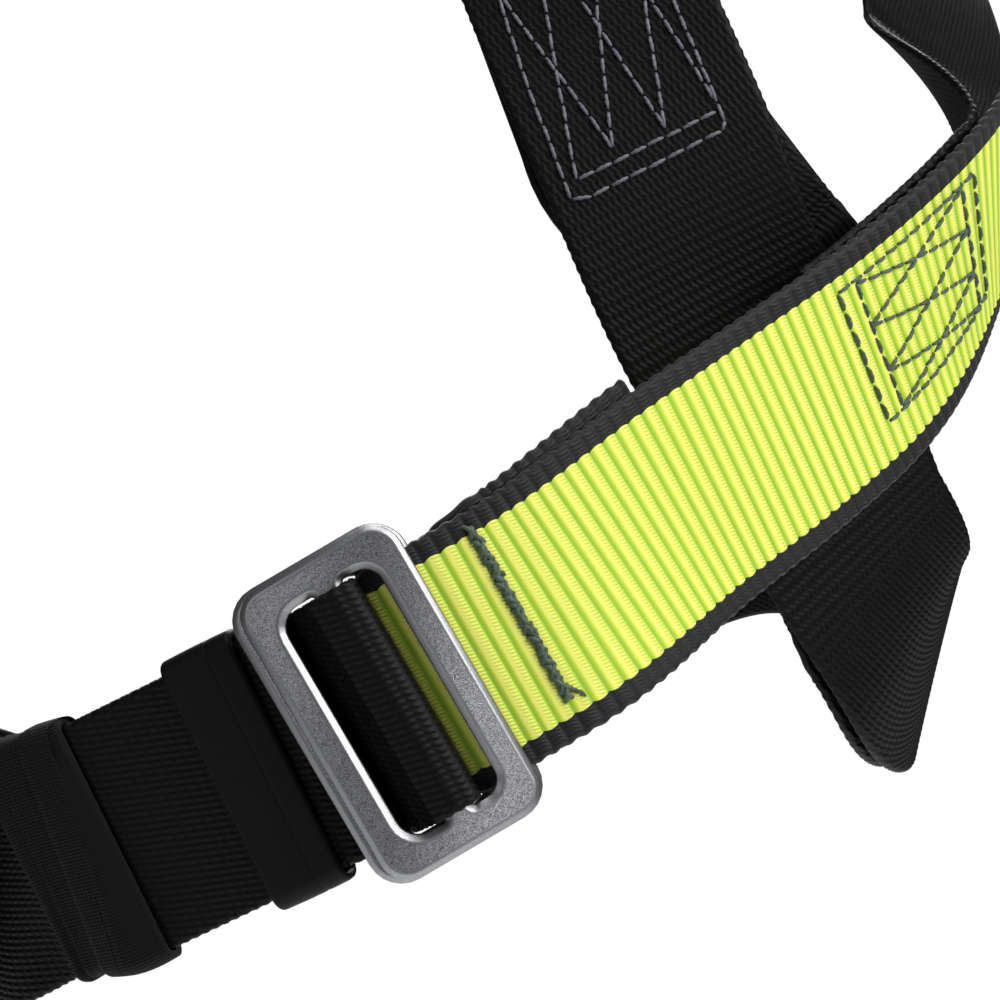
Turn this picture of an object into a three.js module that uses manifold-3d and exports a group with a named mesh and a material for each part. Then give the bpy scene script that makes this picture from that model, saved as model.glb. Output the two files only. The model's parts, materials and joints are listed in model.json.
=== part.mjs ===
// Full-body safety harness, laid out as it is worn: the wearer faces -Y, their left is +X and +Z is up.
// Units are millimetres. The origin is the point between the wearer's shoulders that the straps hang from.
import * as THREE from "three";
import { mergeVertices } from "three/addons/utils/BufferGeometryUtils.js";
import Module from "manifold-3d";

// Webbing
const WEB_WIDTH = 45;
const WEB_THICK = 1.8;
const HI_VIS_THICK = 2;
const GAP = 0.35;
const LAYER = WEB_THICK + 1.4;

// Three-bar plate of the pass-through buckles
const PLATE_LONG = 58.5;
const PLATE_SHORT = 31.9;
const PLATE_THICK = 3.8;
const PLATE_CORNER = 5.5;
const WINDOW_LONG = 46;
const WINDOW_SHORT = 19.4;
const CENTRE_BAR = 5.5;
const CENTRE_BAR_AT = 0.6;
const SLOT_CORNER = 1.3;

// Ring that the plate passes through
const RING_LONG = 59.6;
const RING_SHORT = 34.6;
const RING_SHIFT = -0.8;
const RING_BAR = 8.8;
const RING_FAR_BAR = 6.6;
const RING_CORNER = 6.5;

// Adjuster on the chest
const ADJUSTER_LONG = 58.5;
const ADJUSTER_SHORT = 37.5;
const ADJUSTER_BAR = 6;
const ADJUSTER_LOW_SLOT = 8;
const ADJUSTER_CORNER = 6;

// Where the metal parts sit
const LEG_BUCKLE = [88.7, -138, -595.7];
const LEG_BUCKLE_TURN = THREE.MathUtils.degToRad(30.4);
const CHEST_BUCKLE = [0, -119, -150];
const ADJUSTER_AT = [70, -104, -245];

// Dorsal plate and ring
const DORSAL_Z = -170;
const DORSAL_INNER_Y = 130;
const DORSAL_OUTER_Y = 133.4;
const DORSAL_WIDTH = 104;
const DORSAL_HEIGHT = 96;
const PAD_THICK = 6;
const SHELL_THICK = 3.5;
const D_RING_OUTER = 70;
const D_RING_BAR = 8;
const D_RING_THICK = 7;
const D_RING_STRAIGHT = 20;
const HINGE_OUT = 7.5;
const HINGE_BORE = 5.1;

const wasm = await Module();
wasm.setup();

// ---- Colours ----

function material(color, roughness, metalness = 0) {
  return new THREE.MeshStandardMaterial({ color, roughness, metalness });
}

const LOOKS = {
  blackWeb: () => material(0x17171a, 0.8),
  hiVisWeb: () => material(0xcfe83a, 0.7),
  zinc: () => material(0xb4b6b8, 0.38, 0.9),
  steel: () => material(0xa9abad, 0.32, 0.95),
  rubber: () => material(0x131314, 0.6),
  elastic: () => material(0x1c1c1e, 0.95),
  plastic: () => material(0x1e1f21, 0.5),
  pouch: () => material(0x222326, 0.85),
};

// ---- Ribbons of webbing ----

const vec = (a) => new THREE.Vector3(a[0], a[1], a[2]);

// A smooth route through hand-set stations; a station is a centre and the direction across the strap.
const STEPS = 3;
function smooth(rows, steps = STEPS) {
  const route = [];
  for (let i = 0; i < rows.length - 1; i += 1) {
    const a = rows[Math.max(i - 1, 0)];
    const b = rows[i];
    const c = rows[i + 1];
    const d = rows[Math.min(i + 2, rows.length - 1)];
    for (let k = 0; k < steps; k += 1) {
      route.push(b.map((_, j) => hermite(a[j], b[j], c[j], d[j], k / steps)));
    }
  }
  route.push([...rows[rows.length - 1]]);
  return route;
}

// A smooth route through stations that are not evenly spaced.
function glide(rows, steps = STEPS) {
  const gaps = rows.slice(1).map((row, i) => vec(row).distanceTo(vec(rows[i])));
  const chords = gaps.map((gap, i) => rows[i].map((value, j) => (rows[i + 1][j] - value) / gap));
  const slopes = rows.map((row, i) => {
    const before = Math.max(i - 1, 0);
    const after = Math.min(i, gaps.length - 1);
    const share = gaps[after] / (gaps[before] + gaps[after]);
    return row.map((_, j) => chords[before][j] * share + chords[after][j] * (1 - share));
  });
  const route = [];
  gaps.forEach((gap, i) => {
    for (let n = 0; n < steps; n += 1) {
      const k = n / steps;
      route.push(rows[i].map((value, j) => {
        const ease = (rows[i + 1][j] - value) * (3 - 2 * k) * k * k;
        return value + ease + gap * k * (k - 1) * (slopes[i][j] * (k - 1) + slopes[i + 1][j] * k);
      }));
    }
  });
  route.push([...rows[rows.length - 1]]);
  return route;
}

function hermite(a, b, c, d, t) {
  const square = t * t * (2 * a - 5 * b + 4 * c - d);
  const cube = t * t * t * (-a + 3 * b - 3 * c + d);
  return 0.5 * (2 * b + t * (c - a) + square + cube);
}

// The tangent, the direction across and the normal at each station of a route.
function axesAlong(route) {
  return route.map((row, i) => {
    const before = vec(route[Math.max(i - 1, 0)]);
    const after = vec(route[Math.min(i + 1, route.length - 1)]);
    const tangent = after.sub(before).normalize();
    const across = new THREE.Vector3(row[3], row[4], row[5]);
    across.addScaledVector(tangent, -across.dot(tangent)).normalize();
    const normal = new THREE.Vector3().crossVectors(tangent, across);
    return { centre: vec(row), tangent, across, normal };
  });
}

// The same route moved along its normal, such as a second layer of webbing.
function offset(route, distance) {
  return axesAlong(route).map(({ centre, across, normal }) => {
    const moved = centre.addScaledVector(normal, distance);
    return [moved.x, moved.y, moved.z, across.x, across.y, across.z];
  });
}

// The same route moved along its direction across, by amounts given at its hand-set stations.
function drift(route, amounts) {
  return axesAlong(route).map(({ centre, across }, i) => {
    const at = Math.min(i / STEPS, amounts.length - 1);
    const low = Math.floor(at);
    const high = Math.min(low + 1, amounts.length - 1);
    const moved = centre.addScaledVector(across, amounts[low] + (amounts[high] - amounts[low]) * (at - low));
    return [moved.x, moved.y, moved.z, across.x, across.y, across.z];
  });
}

function mirror(route) {
  return route.map(([x, y, z, a, b, c]) => [-x, y, z, -a, b, c]);
}

// The same route with its direction across turned round, to join one that runs the other way.
function flip(route) {
  return route.map(([x, y, z, a, b, c]) => [x, y, z, -a, -b, -c]);
}

function geometryFrom(points, faces) {
  const geometry = new THREE.BufferGeometry();
  const flat = points.flatMap((p) => [p.x, p.y, p.z]);
  geometry.setAttribute("position", new THREE.Float32BufferAttribute(flat, 3));
  geometry.setIndex(faces.flat());
  geometry.computeVertexNormals();
  return geometry;
}

const RECTANGLE = [[-1, -1], [1, -1], [1, 1], [-1, 1]];

function cornersAt(axes, width, thick) {
  return RECTANGLE.map(([w, n]) => axes.centre.clone()
    .addScaledVector(axes.across, (w * width) / 2)
    .addScaledVector(axes.normal, (n * thick) / 2));
}

function sideFaces(count, stride, start, outward) {
  const faces = [];
  for (let i = 0; i < count - 1; i += 1) {
    for (let j = 0; j < 4; j += 1) {
      const a = i * stride + start + j;
      const b = i * stride + start + ((j + 1) % 4);
      const c = b + stride;
      const d = a + stride;
      const halves = j < 2 ? [[a, b, c], [a, c, d]] : [[a, b, d], [b, c, d]];
      faces.push(...halves.map(([p, q, r]) => (outward ? [p, q, r] : [p, r, q])));
    }
  }
  return faces;
}

function ribbon(route, width = WEB_WIDTH, thick = WEB_THICK) {
  const rings = axesAlong(route).map((axes) => cornersAt(axes, width, thick));
  const last = 4 * (rings.length - 1);
  const faces = sideFaces(rings.length, 4, 0, true);
  faces.push([0, 3, 2], [0, 2, 1], [last, last + 1, last + 2], [last, last + 2, last + 3]);
  return geometryFrom(rings.flat(), faces);
}

// A sleeve round a strap: a rectangular tube that follows the route.
function sleeve(route, inner, wall) {
  const rings = axesAlong(route).map((axes) => [
    ...cornersAt(axes, inner[0] + 2 * wall, inner[1] + 2 * wall),
    ...cornersAt(axes, inner[0], inner[1]),
  ]);
  const last = 8 * (rings.length - 1);
  const faces = [...sideFaces(rings.length, 8, 0, true), ...sideFaces(rings.length, 8, 4, false)];
  for (let j = 0; j < 4; j += 1) {
    const k = (j + 1) % 4;
    faces.push([j, 4 + j, 4 + k], [j, 4 + k, k]);
    faces.push([last + j, last + k, last + 4 + k], [last + j, last + 4 + k, last + 4 + j]);
  }
  return geometryFrom(rings.flat(), faces);
}

// ---- Local frames: u runs along the strap, v out of the face and w across ----

function frameAt(centre, u, v, w) {
  return { centre: vec(centre), u: vec(u), v: vec(v), w: vec(w) };
}

function station(frame, [u, v]) {
  const p = frame.centre.clone().addScaledVector(frame.u, u).addScaledVector(frame.v, v);
  return [p.x, p.y, p.z, frame.w.x, frame.w.y, frame.w.z];
}

function arc([u, v], radius, from, to, steps = 4) {
  const points = [];
  for (let i = 0; i <= steps; i += 1) {
    const angle = THREE.MathUtils.degToRad(from + ((to - from) * i) / steps);
    points.push([u + radius * Math.cos(angle), v + radius * Math.sin(angle)]);
  }
  return points;
}

const COS = Math.cos(LEG_BUCKLE_TURN);
const SIN = Math.sin(LEG_BUCKLE_TURN);
const LEG_FRAME = frameAt(LEG_BUCKLE, [COS, 0, SIN], [0, -1, 0], [-SIN, 0, COS]);
const CHEST_FRAME = frameAt(CHEST_BUCKLE, [-1, 0, 0], [0, -1, 0], [0, 0, -1]);
const ADJUSTER_FRAME = frameAt(ADJUSTER_AT, [0, 0, 1], [0, -1, 0], [-1, 0, 0]);

// ---- Buckle stack: heights of the layers below the plate's middle, which is at v 0 ----

const HALF_PLATE = PLATE_THICK / 2;
const HI_VIS_TOP = -HALF_PLATE - GAP - HI_VIS_THICK / 2;
const RING_TOP = HI_VIS_TOP - HI_VIS_THICK / 2 - GAP;
const RING_BOTTOM = RING_TOP - PLATE_THICK;
const HI_VIS_BACK = RING_BOTTOM - GAP - HI_VIS_THICK / 2;
const LIVE_LAYER = RING_BOTTOM - GAP - WEB_THICK / 2;
const TAIL_LAYER = LIVE_LAYER - WEB_THICK - 0.6;
const RING_INNER = RING_SHIFT + RING_SHORT / 2 - RING_BAR;
const BAR_LOW = CENTRE_BAR_AT - CENTRE_BAR / 2;
const BAR_HIGH = CENTRE_BAR_AT + CENTRE_BAR / 2;

// The leg strap is cut here into the part that the plate lifts and the part that stays.
const LOOP_SPLIT = -9.5;
const SPLIT_GAP = 1;

// The webbing round the plate's centre bar, from the live layer over the bar to the tail layer.
const BAR_LOOP = [
  [LOOP_SPLIT + SPLIT_GAP, LIVE_LAYER + 0.5],
  [-7.1, -5.2],
  [-3.3, 2.3],
  ...arc([BAR_LOW, HALF_PLATE], 1.45, 145, 100, 2),
  [CENTRE_BAR_AT, HALF_PLATE + 2],
  ...arc([BAR_HIGH, HALF_PLATE], 1.4, 50, 0, 2),
  ...arc([BAR_HIGH, -HALF_PLATE], 1.4, 0, -30, 2),
  [2.2, -6.4],
  [-1.2, -8.9],
  [-5, -10.9],
  [LOOP_SPLIT + SPLIT_GAP, TAIL_LAYER],
];

// The hi-vis webbing round the ring's outer bar, from its back layer to its top layer.
function hiVisLoop(backEnd) {
  const radius = GAP + HI_VIS_THICK / 2;
  return [
    ...backEnd,
    [RING_INNER + RING_BAR, HI_VIS_BACK],
    ...arc([RING_INNER, RING_BOTTOM], radius, 270, 180),
    ...arc([RING_INNER, RING_TOP], radius, 180, 90),
    [RING_INNER + RING_BAR + 2, HI_VIS_TOP],
  ];
}

// ---- Routes of the straps on the wearer's left; the right side mirrors them ----

const HIP_ROUTE = glide([
  station(LEG_FRAME, [20, HI_VIS_TOP - 0.1]),
  station(LEG_FRAME, [30, HI_VIS_TOP - 1.6]),
  [143.3, -114, -559, -0.46, -0.20, 0.87],
  [161.5, -99, -546.1, -0.43, -0.26, 0.86],
  [180.6, -82, -531.4, -0.33, -0.35, 0.87],
  [204.4, -49, -504, -0.08, -0.54, 0.84],
  [214.4, -12, -483, 0, -0.56, 0.83],
]);

// The back layer is sewn to the top layer just past the buckle and ends a little further on.
const HIP_SEWN_STATIONS = [3, 7];
const HIP_DRIFT = [1.6, 2.5];
const HIP_BACK_LAYER = [
  ...drift(offset(HIP_ROUTE.slice(...HIP_SEWN_STATIONS), -HI_VIS_THICK - 0.5), HIP_DRIFT).reverse(),
  ...hiVisLoop([[23, HI_VIS_BACK + 1.2]]).map((point) => station(LEG_FRAME, point)),
];
const HIP_STRAP = [...HIP_BACK_LAYER, ...HIP_ROUTE];

const SEAT_ROUTE = smooth([
  [108.4, -66, -420, -0.93, 0, -0.30],
  [121.4, -73, -456, -0.90, 0.10, -0.35],
  [136.4, -84, -492, -0.91, 0, -0.41],
  [151.4, -80, -526, -0.86, -0.15, -0.48],
  [168, -72, -553.5, -0.77, -0.36, -0.53],
  [183.9, -61, -578.5, -0.62, -0.36, -0.70],
  [190.8, -44, -591, -0.42, -0.32, -0.85],
  [196, -15, -592, -0.20, -0.25, -0.95],
  [194, 24, -583, 0.12, -0.20, -0.97],
  [184, 62, -570, 0.28, -0.10, -0.95],
  [164, 94, -564, 0.33, -0.05, -0.94],
  [134, 116, -576, 0.40, -0.05, -0.91],
  [92, 129, -601, 0.42, -0.05, -0.90],
  [44, 136, -626, 0.32, -0.05, -0.94],
  [0, 138, -641, 0, 0, -1],
]);
const SEAT_STRAP = [...SEAT_ROUTE, ...mirror(SEAT_ROUTE).reverse().slice(1)];

// The straight stretch of the leg strap that the keeper slides on.
const LEG_LINE_FROM = [71.4, -128.1, -605];
const LEG_LINE_TO = [35.2, -115, -622.9];
const LEG_LINE_ACROSS = [-0.455, 0, 0.89];
const LEG_TURN_ACROSS = [-0.38, 0, 0.925];

// The leg strap ends on the seat strap, under the buttock, over these stations of the seat route.
const LEG_ON_SEAT_STATIONS = [33, 37];
const legLine = (t, across = LEG_LINE_ACROSS) => [
  ...LEG_LINE_FROM.map((value, i) => value + (LEG_LINE_TO[i] - value) * t),
  ...across,
];
const LEG_ROUTE = [
  station(LEG_FRAME, [LOOP_SPLIT - SPLIT_GAP, LIVE_LAYER]),
  station(LEG_FRAME, [-14, LIVE_LAYER - 0.1]),
  legLine(0),
  legLine(0.5),
  legLine(0.82),
  ...smooth([
    legLine(1, LEG_TURN_ACROSS),
    [22, -104, -627, -0.27, -0.20, 0.92],
    [12.5, -86, -633.5, -0.12, -0.14, 0.97],
    [9, -55, -638, 0.05, 0.10, 0.99],
    [9, -15, -638, 0.05, 0.10, 0.99],
    [16, 28, -634, 0.05, 0.05, 0.99],
    [32, 72, -629, -0.10, 0, 0.99],
    [56, 104, -619, -0.30, 0, 0.95],
  ]),
  ...flip(offset(SEAT_ROUTE, LAYER).slice(...LEG_ON_SEAT_STATIONS)).reverse(),
];
const TAIL_GAP = LIVE_LAYER - TAIL_LAYER;
const LEG_TAIL_STATIONS = 9;
const LEG_TAIL = offset(LEG_ROUTE.slice(0, LEG_TAIL_STATIONS), TAIL_GAP);

// ---- The shoulder straps: from one hip, up the back, over the other shoulder to its adjuster ----

const HALF_ADJUSTER = ADJUSTER_SHORT / 2;
const ADJUSTER_TOP_SLOT = HALF_ADJUSTER - ADJUSTER_BAR;
const ADJUSTER_BAR_LOW = -HALF_ADJUSTER + ADJUSTER_BAR + ADJUSTER_LOW_SLOT;
const ADJUSTER_BAR_HIGH = ADJUSTER_BAR_LOW + CENTRE_BAR;
const WEB_OFF = HALF_PLATE + GAP + WEB_THICK / 2;
const WRAP = GAP + WEB_THICK / 2;

// The shoulder strap starts behind the hip strap, over these stations of the hip route.
const SHOULDER_ON_HIP_STATIONS = [11, 16];

function shoulderRoute(crossingY) {
  return [
    ...offset(HIP_ROUTE, -LAYER).slice(...SHOULDER_ON_HIP_STATIONS),
    ...smooth([
      [200, 3.5, -471.5, -0.74, -0.50, 0.42],
      [195, 46, -430, -0.62, -0.60, 0.46],
      [166, 92, -372, 0.51, -0.45, 0.68],
      [118, 118, -312, 0.65, -0.25, 0.66],
      [52, crossingY, -242, 0.81, 0, 0.58],
    ]),
    ...smooth([
      [-47, crossingY, -105, 0.81, 0, 0.58],
      [-66, 98, -38, 0.95, 0, 0.25],
      [-74, 52, 0, 1, 0, 0],
      [-76, 0, 6, 1, 0, 0],
      [-77, -50, -22, 1, 0, 0],
      [-75, -88, -80, 1, 0, 0],
      [-71, -103, -150, 1, 0, 0],
      [-70, -107, -205, 1, 0, 0],
    ]),
    ...[
      [HALF_ADJUSTER + 6, WEB_OFF],
      ...arc([ADJUSTER_TOP_SLOT, HALF_PLATE], WRAP, 90, 180),
      ...arc([ADJUSTER_TOP_SLOT, -HALF_PLATE], WRAP, 180, 270),
      [HALF_ADJUSTER + 6, -WEB_OFF],
      [HALF_ADJUSTER + 34, -WEB_OFF + 3.3],
    ].map((point) => mirror([station(ADJUSTER_FRAME, point)])[0]),
  ];
}

// The torso strap threads the adjuster; its tail hangs down in front through the torso keeper.
const TORSO_LAYER = LAYER + 1;
const TORSO_ON_SEAT_STATIONS = 22;
const TORSO_DRIFT = [0, 0, 1.5, -9.5, -5, 0, 0, 0];
const TORSO_LINE = [[-27, WEB_OFF - 0.4], [-55, WEB_OFF - 2.8]];
const TORSO_LINE_TILT = Math.atan2(2.4, 28);
const tailOver = ([u, v]) => [u - LAYER * Math.sin(TORSO_LINE_TILT), v + LAYER * Math.cos(TORSO_LINE_TILT)];
const TORSO_STRAP = [
  ...[
    [-130, WEB_OFF - 27],
    [-96, WEB_OFF - 12],
    tailOver(TORSO_LINE[1]),
    tailOver(TORSO_LINE[0]),
    [-HALF_ADJUSTER, WEB_OFF + LAYER - 0.6],
    [ADJUSTER_BAR_LOW - 3, WEB_OFF + 1.4],
    ...arc([ADJUSTER_BAR_HIGH, HALF_PLATE], WRAP, 90, 0),
    ...arc([ADJUSTER_BAR_HIGH, -HALF_PLATE], WRAP, 0, -90),
    ...arc([ADJUSTER_BAR_LOW, -HALF_PLATE], WRAP, -90, -150, 2),
    ...arc([-HALF_ADJUSTER + ADJUSTER_BAR, HALF_PLATE], WRAP, 30, 90, 2),
    [-HALF_ADJUSTER, WEB_OFF],
    TORSO_LINE[0],
  ].map((point) => station(ADJUSTER_FRAME, point)),
  ...smooth([
    station(ADJUSTER_FRAME, TORSO_LINE[1]),
    [72, -94, -325, -1, 0, -0.14],
    [78, -76, -355, -0.97, 0, -0.20],
    [91, -64, -388, -0.95, 0, -0.25],
  ]),
  ...drift(offset(SEAT_ROUTE, TORSO_LAYER).slice(0, TORSO_ON_SEAT_STATIONS), TORSO_DRIFT),
];

// ---- Chest strap ----

const CHEST_HALF_SPAN = 96;
const CHEST_LIVE = [
  [LOOP_SPLIT - SPLIT_GAP, LIVE_LAYER],
  [-18, LIVE_LAYER],
  [-46, LIVE_LAYER],
  [-72, LIVE_LAYER + 0.2],
  [-CHEST_HALF_SPAN, LIVE_LAYER - 2.3],
].map((point) => station(CHEST_FRAME, point));
const CHEST_TAIL = offset(CHEST_LIVE.slice(0, 3), TAIL_GAP);
const CHEST_RING_SIDE = [
  ...hiVisLoop([[44, HI_VIS_TOP - HI_VIS_THICK - 0.7], [28, HI_VIS_BACK + 2.5]]),
  [28, HI_VIS_TOP - 0.2],
  [72, LIVE_LAYER + 0.2],
  [CHEST_HALF_SPAN, LIVE_LAYER - 2.3],
].map((point) => station(CHEST_FRAME, point));

// ---- Metal plates ----

function roundedRectangle(Path, halfU, halfW, radius, shift = 0) {
  const path = new Path();
  const corners = [[1, -1, -90], [1, 1, 0], [-1, 1, 90], [-1, -1, 180]];
  corners.forEach(([u, w, angle]) => {
    const from = THREE.MathUtils.degToRad(angle);
    const x = shift + u * (halfU - radius);
    path.absarc(x, w * (halfW - radius), radius, from, from + Math.PI / 2, false);
  });
  path.closePath();
  return path;
}

// A flat shape made thick, with every edge chamfered by the bevel.
function bevelled(shape, thick, bevel, curveSegments) {
  return new THREE.ExtrudeGeometry(shape, {
    depth: thick - 2 * bevel,
    curveSegments,
    bevelEnabled: true,
    bevelSegments: 1,
    bevelSize: bevel,
    bevelOffset: -bevel,
    bevelThickness: bevel,
  });
}

// A flat bar plate: its face lies in u and w, and each slot is [low u, high u].
function barPlate({ long, short, corner, slots, thick, shift = 0, bevel = 0.6 }) {
  const shape = roundedRectangle(THREE.Shape, short / 2, long / 2, corner, shift);
  slots.forEach(([low, high]) => {
    const half = (high - low) / 2;
    const hole = roundedRectangle(THREE.Path, half, WINDOW_LONG / 2, SLOT_CORNER, (low + high) / 2);
    shape.holes.push(hole);
  });
  const geometry = bevelled(shape, thick, bevel, 4);
  geometry.translate(0, 0, -thick / 2 + bevel);
  return geometry;
}

const HALF_WINDOW = WINDOW_SHORT / 2;
const BUCKLE_SLOTS = [[-HALF_WINDOW, BAR_LOW], [BAR_HIGH, HALF_WINDOW]];

function bucklePlate() {
  return barPlate({
    long: PLATE_LONG,
    short: PLATE_SHORT,
    corner: PLATE_CORNER,
    slots: BUCKLE_SLOTS,
    thick: PLATE_THICK,
  });
}

function buckleRing() {
  const slot = [RING_SHIFT - RING_SHORT / 2 + RING_FAR_BAR, RING_INNER];
  const ring = barPlate({
    long: RING_LONG,
    short: RING_SHORT,
    corner: RING_CORNER,
    slots: [slot],
    thick: PLATE_THICK,
    shift: RING_SHIFT,
  });
  ring.translate(0, 0, (RING_TOP + RING_BOTTOM) / 2);
  return ring;
}

function adjusterPlate() {
  const slots = [
    [-HALF_ADJUSTER + ADJUSTER_BAR, ADJUSTER_BAR_LOW],
    [ADJUSTER_BAR_HIGH, ADJUSTER_TOP_SLOT],
  ];
  return barPlate({
    long: ADJUSTER_LONG,
    short: ADJUSTER_SHORT,
    corner: ADJUSTER_CORNER,
    slots,
    thick: PLATE_THICK,
  });
}

// ---- Dorsal plate, pad and ring ----

const SHELL_INNER_Y = DORSAL_OUTER_Y + WEB_THICK / 2 + GAP + 0.3;
const SHELL_OUTER_Y = SHELL_INNER_Y + SHELL_THICK;
const PAD_OUTER_Y = DORSAL_INNER_Y - WEB_THICK / 2 - GAP - 0.3;
const HINGE_Z = DORSAL_Z + 8;
const LUG_AT = 16;
const LUG_LENGTH = 10;

// A slab in X and Z whose inner face is at the given y.
function slab(width, height, thick, corner, innerY, bevel) {
  const shape = roundedRectangle(THREE.Shape, width / 2, height / 2, corner);
  const geometry = bevelled(shape, thick, bevel, 5);
  geometry.rotateX(Math.PI / 2);
  geometry.translate(0, innerY + thick - bevel, DORSAL_Z);
  return geometry;
}

// One hinge lug: a block from the shell outwards with a bore along X for the ring's bar.
function lug(side) {
  const half = HINGE_OUT;
  const shape = new THREE.Shape();
  shape.moveTo(-half, -1);
  shape.lineTo(half, -1);
  shape.lineTo(half, HINGE_OUT);
  shape.absarc(0, HINGE_OUT, half, 0, Math.PI, false);
  shape.closePath();
  const bore = new THREE.Path();
  bore.absarc(0, HINGE_OUT, HINGE_BORE, 0, 2 * Math.PI, true);
  shape.holes.push(bore);
  const options = { depth: LUG_LENGTH, bevelEnabled: false, curveSegments: 10 };
  const geometry = new THREE.ExtrudeGeometry(shape, options);
  geometry.rotateY(Math.PI / 2);
  geometry.translate(side * LUG_AT - LUG_LENGTH / 2, SHELL_OUTER_Y, HINGE_Z);
  return geometry;
}

function toManifold(geometry) {
  const bare = geometry.clone();
  bare.deleteAttribute("normal");
  bare.deleteAttribute("uv");
  const merged = mergeVertices(bare, 1e-4);
  const vertProperties = Float32Array.from(merged.attributes.position.array);
  const triVerts = Uint32Array.from(merged.index.array);
  return new wasm.Manifold(new wasm.Mesh({ numProp: 3, vertProperties, triVerts }));
}

function fromManifold(solid) {
  const mesh = solid.getMesh();
  const geometry = new THREE.BufferGeometry();
  geometry.setAttribute("position", new THREE.Float32BufferAttribute(mesh.vertProperties, 3));
  geometry.setIndex(Array.from(mesh.triVerts));
  geometry.computeVertexNormals();
  return geometry;
}

function dorsalShell() {
  let solid = toManifold(slab(DORSAL_WIDTH, DORSAL_HEIGHT, SHELL_THICK, 18, SHELL_INNER_Y, 0.8));
  [-1, 1].forEach((side) => {
    solid = solid.add(toManifold(lug(side)));
  });
  return fromManifold(solid);
}

// The ring hangs from a straight bar; its bow is a half circle below two straight sides.
function dorsalRing() {
  const half = D_RING_OUTER / 2;
  const inner = half - D_RING_BAR;
  const drop = D_RING_STRAIGHT;
  const outline = new THREE.Shape();
  outline.moveTo(-half, D_RING_BAR / 2);
  outline.lineTo(-half, -drop);
  outline.absarc(0, -drop, half, Math.PI, 2 * Math.PI, false);
  outline.lineTo(half, D_RING_BAR / 2);
  outline.closePath();
  const hole = new THREE.Path();
  hole.moveTo(-inner, -D_RING_BAR / 2);
  hole.lineTo(-inner, -drop);
  hole.absarc(0, -drop, inner, Math.PI, 2 * Math.PI, false);
  hole.lineTo(inner, -D_RING_BAR / 2);
  hole.closePath();
  outline.holes.push(hole);
  const bevel = 2;
  const geometry = bevelled(outline, D_RING_THICK, bevel, 10);
  geometry.rotateX(Math.PI / 2);
  geometry.translate(0, SHELL_OUTER_Y + HINGE_OUT + D_RING_THICK / 2 - bevel, HINGE_Z);
  return geometry;
}

// ---- Keepers and small soft parts ----

const TWO_LAYERS = 2 * WEB_THICK + 0.6;
const SLIDE_FIT = 0.9;

const KEEPER_INNER = [WEB_WIDTH + 1.3, TWO_LAYERS + SLIDE_FIT];
const KEEPER_WALL = 1.7;
const SLEEVE_INNER = [WEB_WIDTH + 0.6, TWO_LAYERS + 1.2];
const SLEEVE_WALL = 0.9;
const LEG_KEEPER = offset([legLine(0.02), legLine(0.37)], TAIL_GAP / 2);
const SLEEVE_STATIONS = [5, 9];
const LEG_SLEEVE = offset([legLine(0.9, LEG_TURN_ACROSS), ...LEG_ROUTE.slice(...SLEEVE_STATIONS)], TAIL_GAP / 2);
const KEEPER_AT = [0.28, 0.72];
const TORSO_KEEPER = KEEPER_AT.map((t) => {
  const [[u0, v0], [u1, v1]] = TORSO_LINE;
  const out = LAYER / 2 / Math.cos(TORSO_LINE_TILT);
  return station(ADJUSTER_FRAME, [u0 + (u1 - u0) * t, v0 + (v1 - v0) * t + out]);
});
const TORSO_KEEPER_INNER = [WEB_WIDTH + SLIDE_FIT, WEB_THICK + LAYER + SLIDE_FIT];
const CHEST_KEEPER = [-24, -38].map((u) => station(CHEST_FRAME, [u, (LIVE_LAYER + TAIL_LAYER) / 2]));

// A loop of narrow webbing on the front of each shoulder strap, where an unused lanyard hook is parked.
const LANYARD_LOOP_WIDTH = 25;
const LANYARD_LOOP_THICK = 1.5;
const LANYARD_LOOP_AT = [70, -109.6, -195];
const LANYARD_LOOP = smooth([[-16, 0], [-9, 0.1], [-7, 4.8], [0, 9], [7, 4], [9, -1.2], [16, -2.2]])
  .map((point) => station(frameAt(LANYARD_LOOP_AT, [0, 0, 1], [0, -1, 0], [1, 0, 0]), point));

// The label pouch lies on the front of the right shoulder strap.
const POUCH_WIDTH = 52;
const POUCH_THICK = 4;
const POUCH_OFF = WEB_THICK / 2 + 0.7 + POUCH_THICK / 2;
const POUCH_STATIONS = [31, 35];
const LABEL_POUCH = offset(shoulderRoute(DORSAL_OUTER_Y), POUCH_OFF).slice(...POUCH_STATIONS);

// ---- Assembly ----

const harness = new THREE.Group();
harness.name = "safety_harness";

function addNode(name, geometry, look, parent = harness) {
  const mesh = new THREE.Mesh(geometry, LOOKS[look]());
  mesh.name = name;
  parent.add(mesh);
  return mesh;
}

function groupAt(frame) {
  const group = new THREE.Group();
  const across = new THREE.Vector3().crossVectors(frame.v, frame.u);
  group.matrix.makeBasis(frame.u, across, frame.v).setPosition(frame.centre);
  group.matrix.decompose(group.position, group.quaternion, group.scale);
  harness.add(group);
  return group;
}

function mirrorFrame(frame) {
  const [centre, u, v, w] = [frame.centre, frame.u, frame.v, frame.w].map((a) => [-a.x, a.y, a.z]);
  return frameAt(centre, u, v, w);
}

const SIDES = [
  { side: "left", route: (route) => route, frame: (frame) => frame },
  { side: "right", route: mirror, frame: mirrorFrame },
];

const along = (points, frame) => points.map((point) => station(frame, point));

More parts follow.
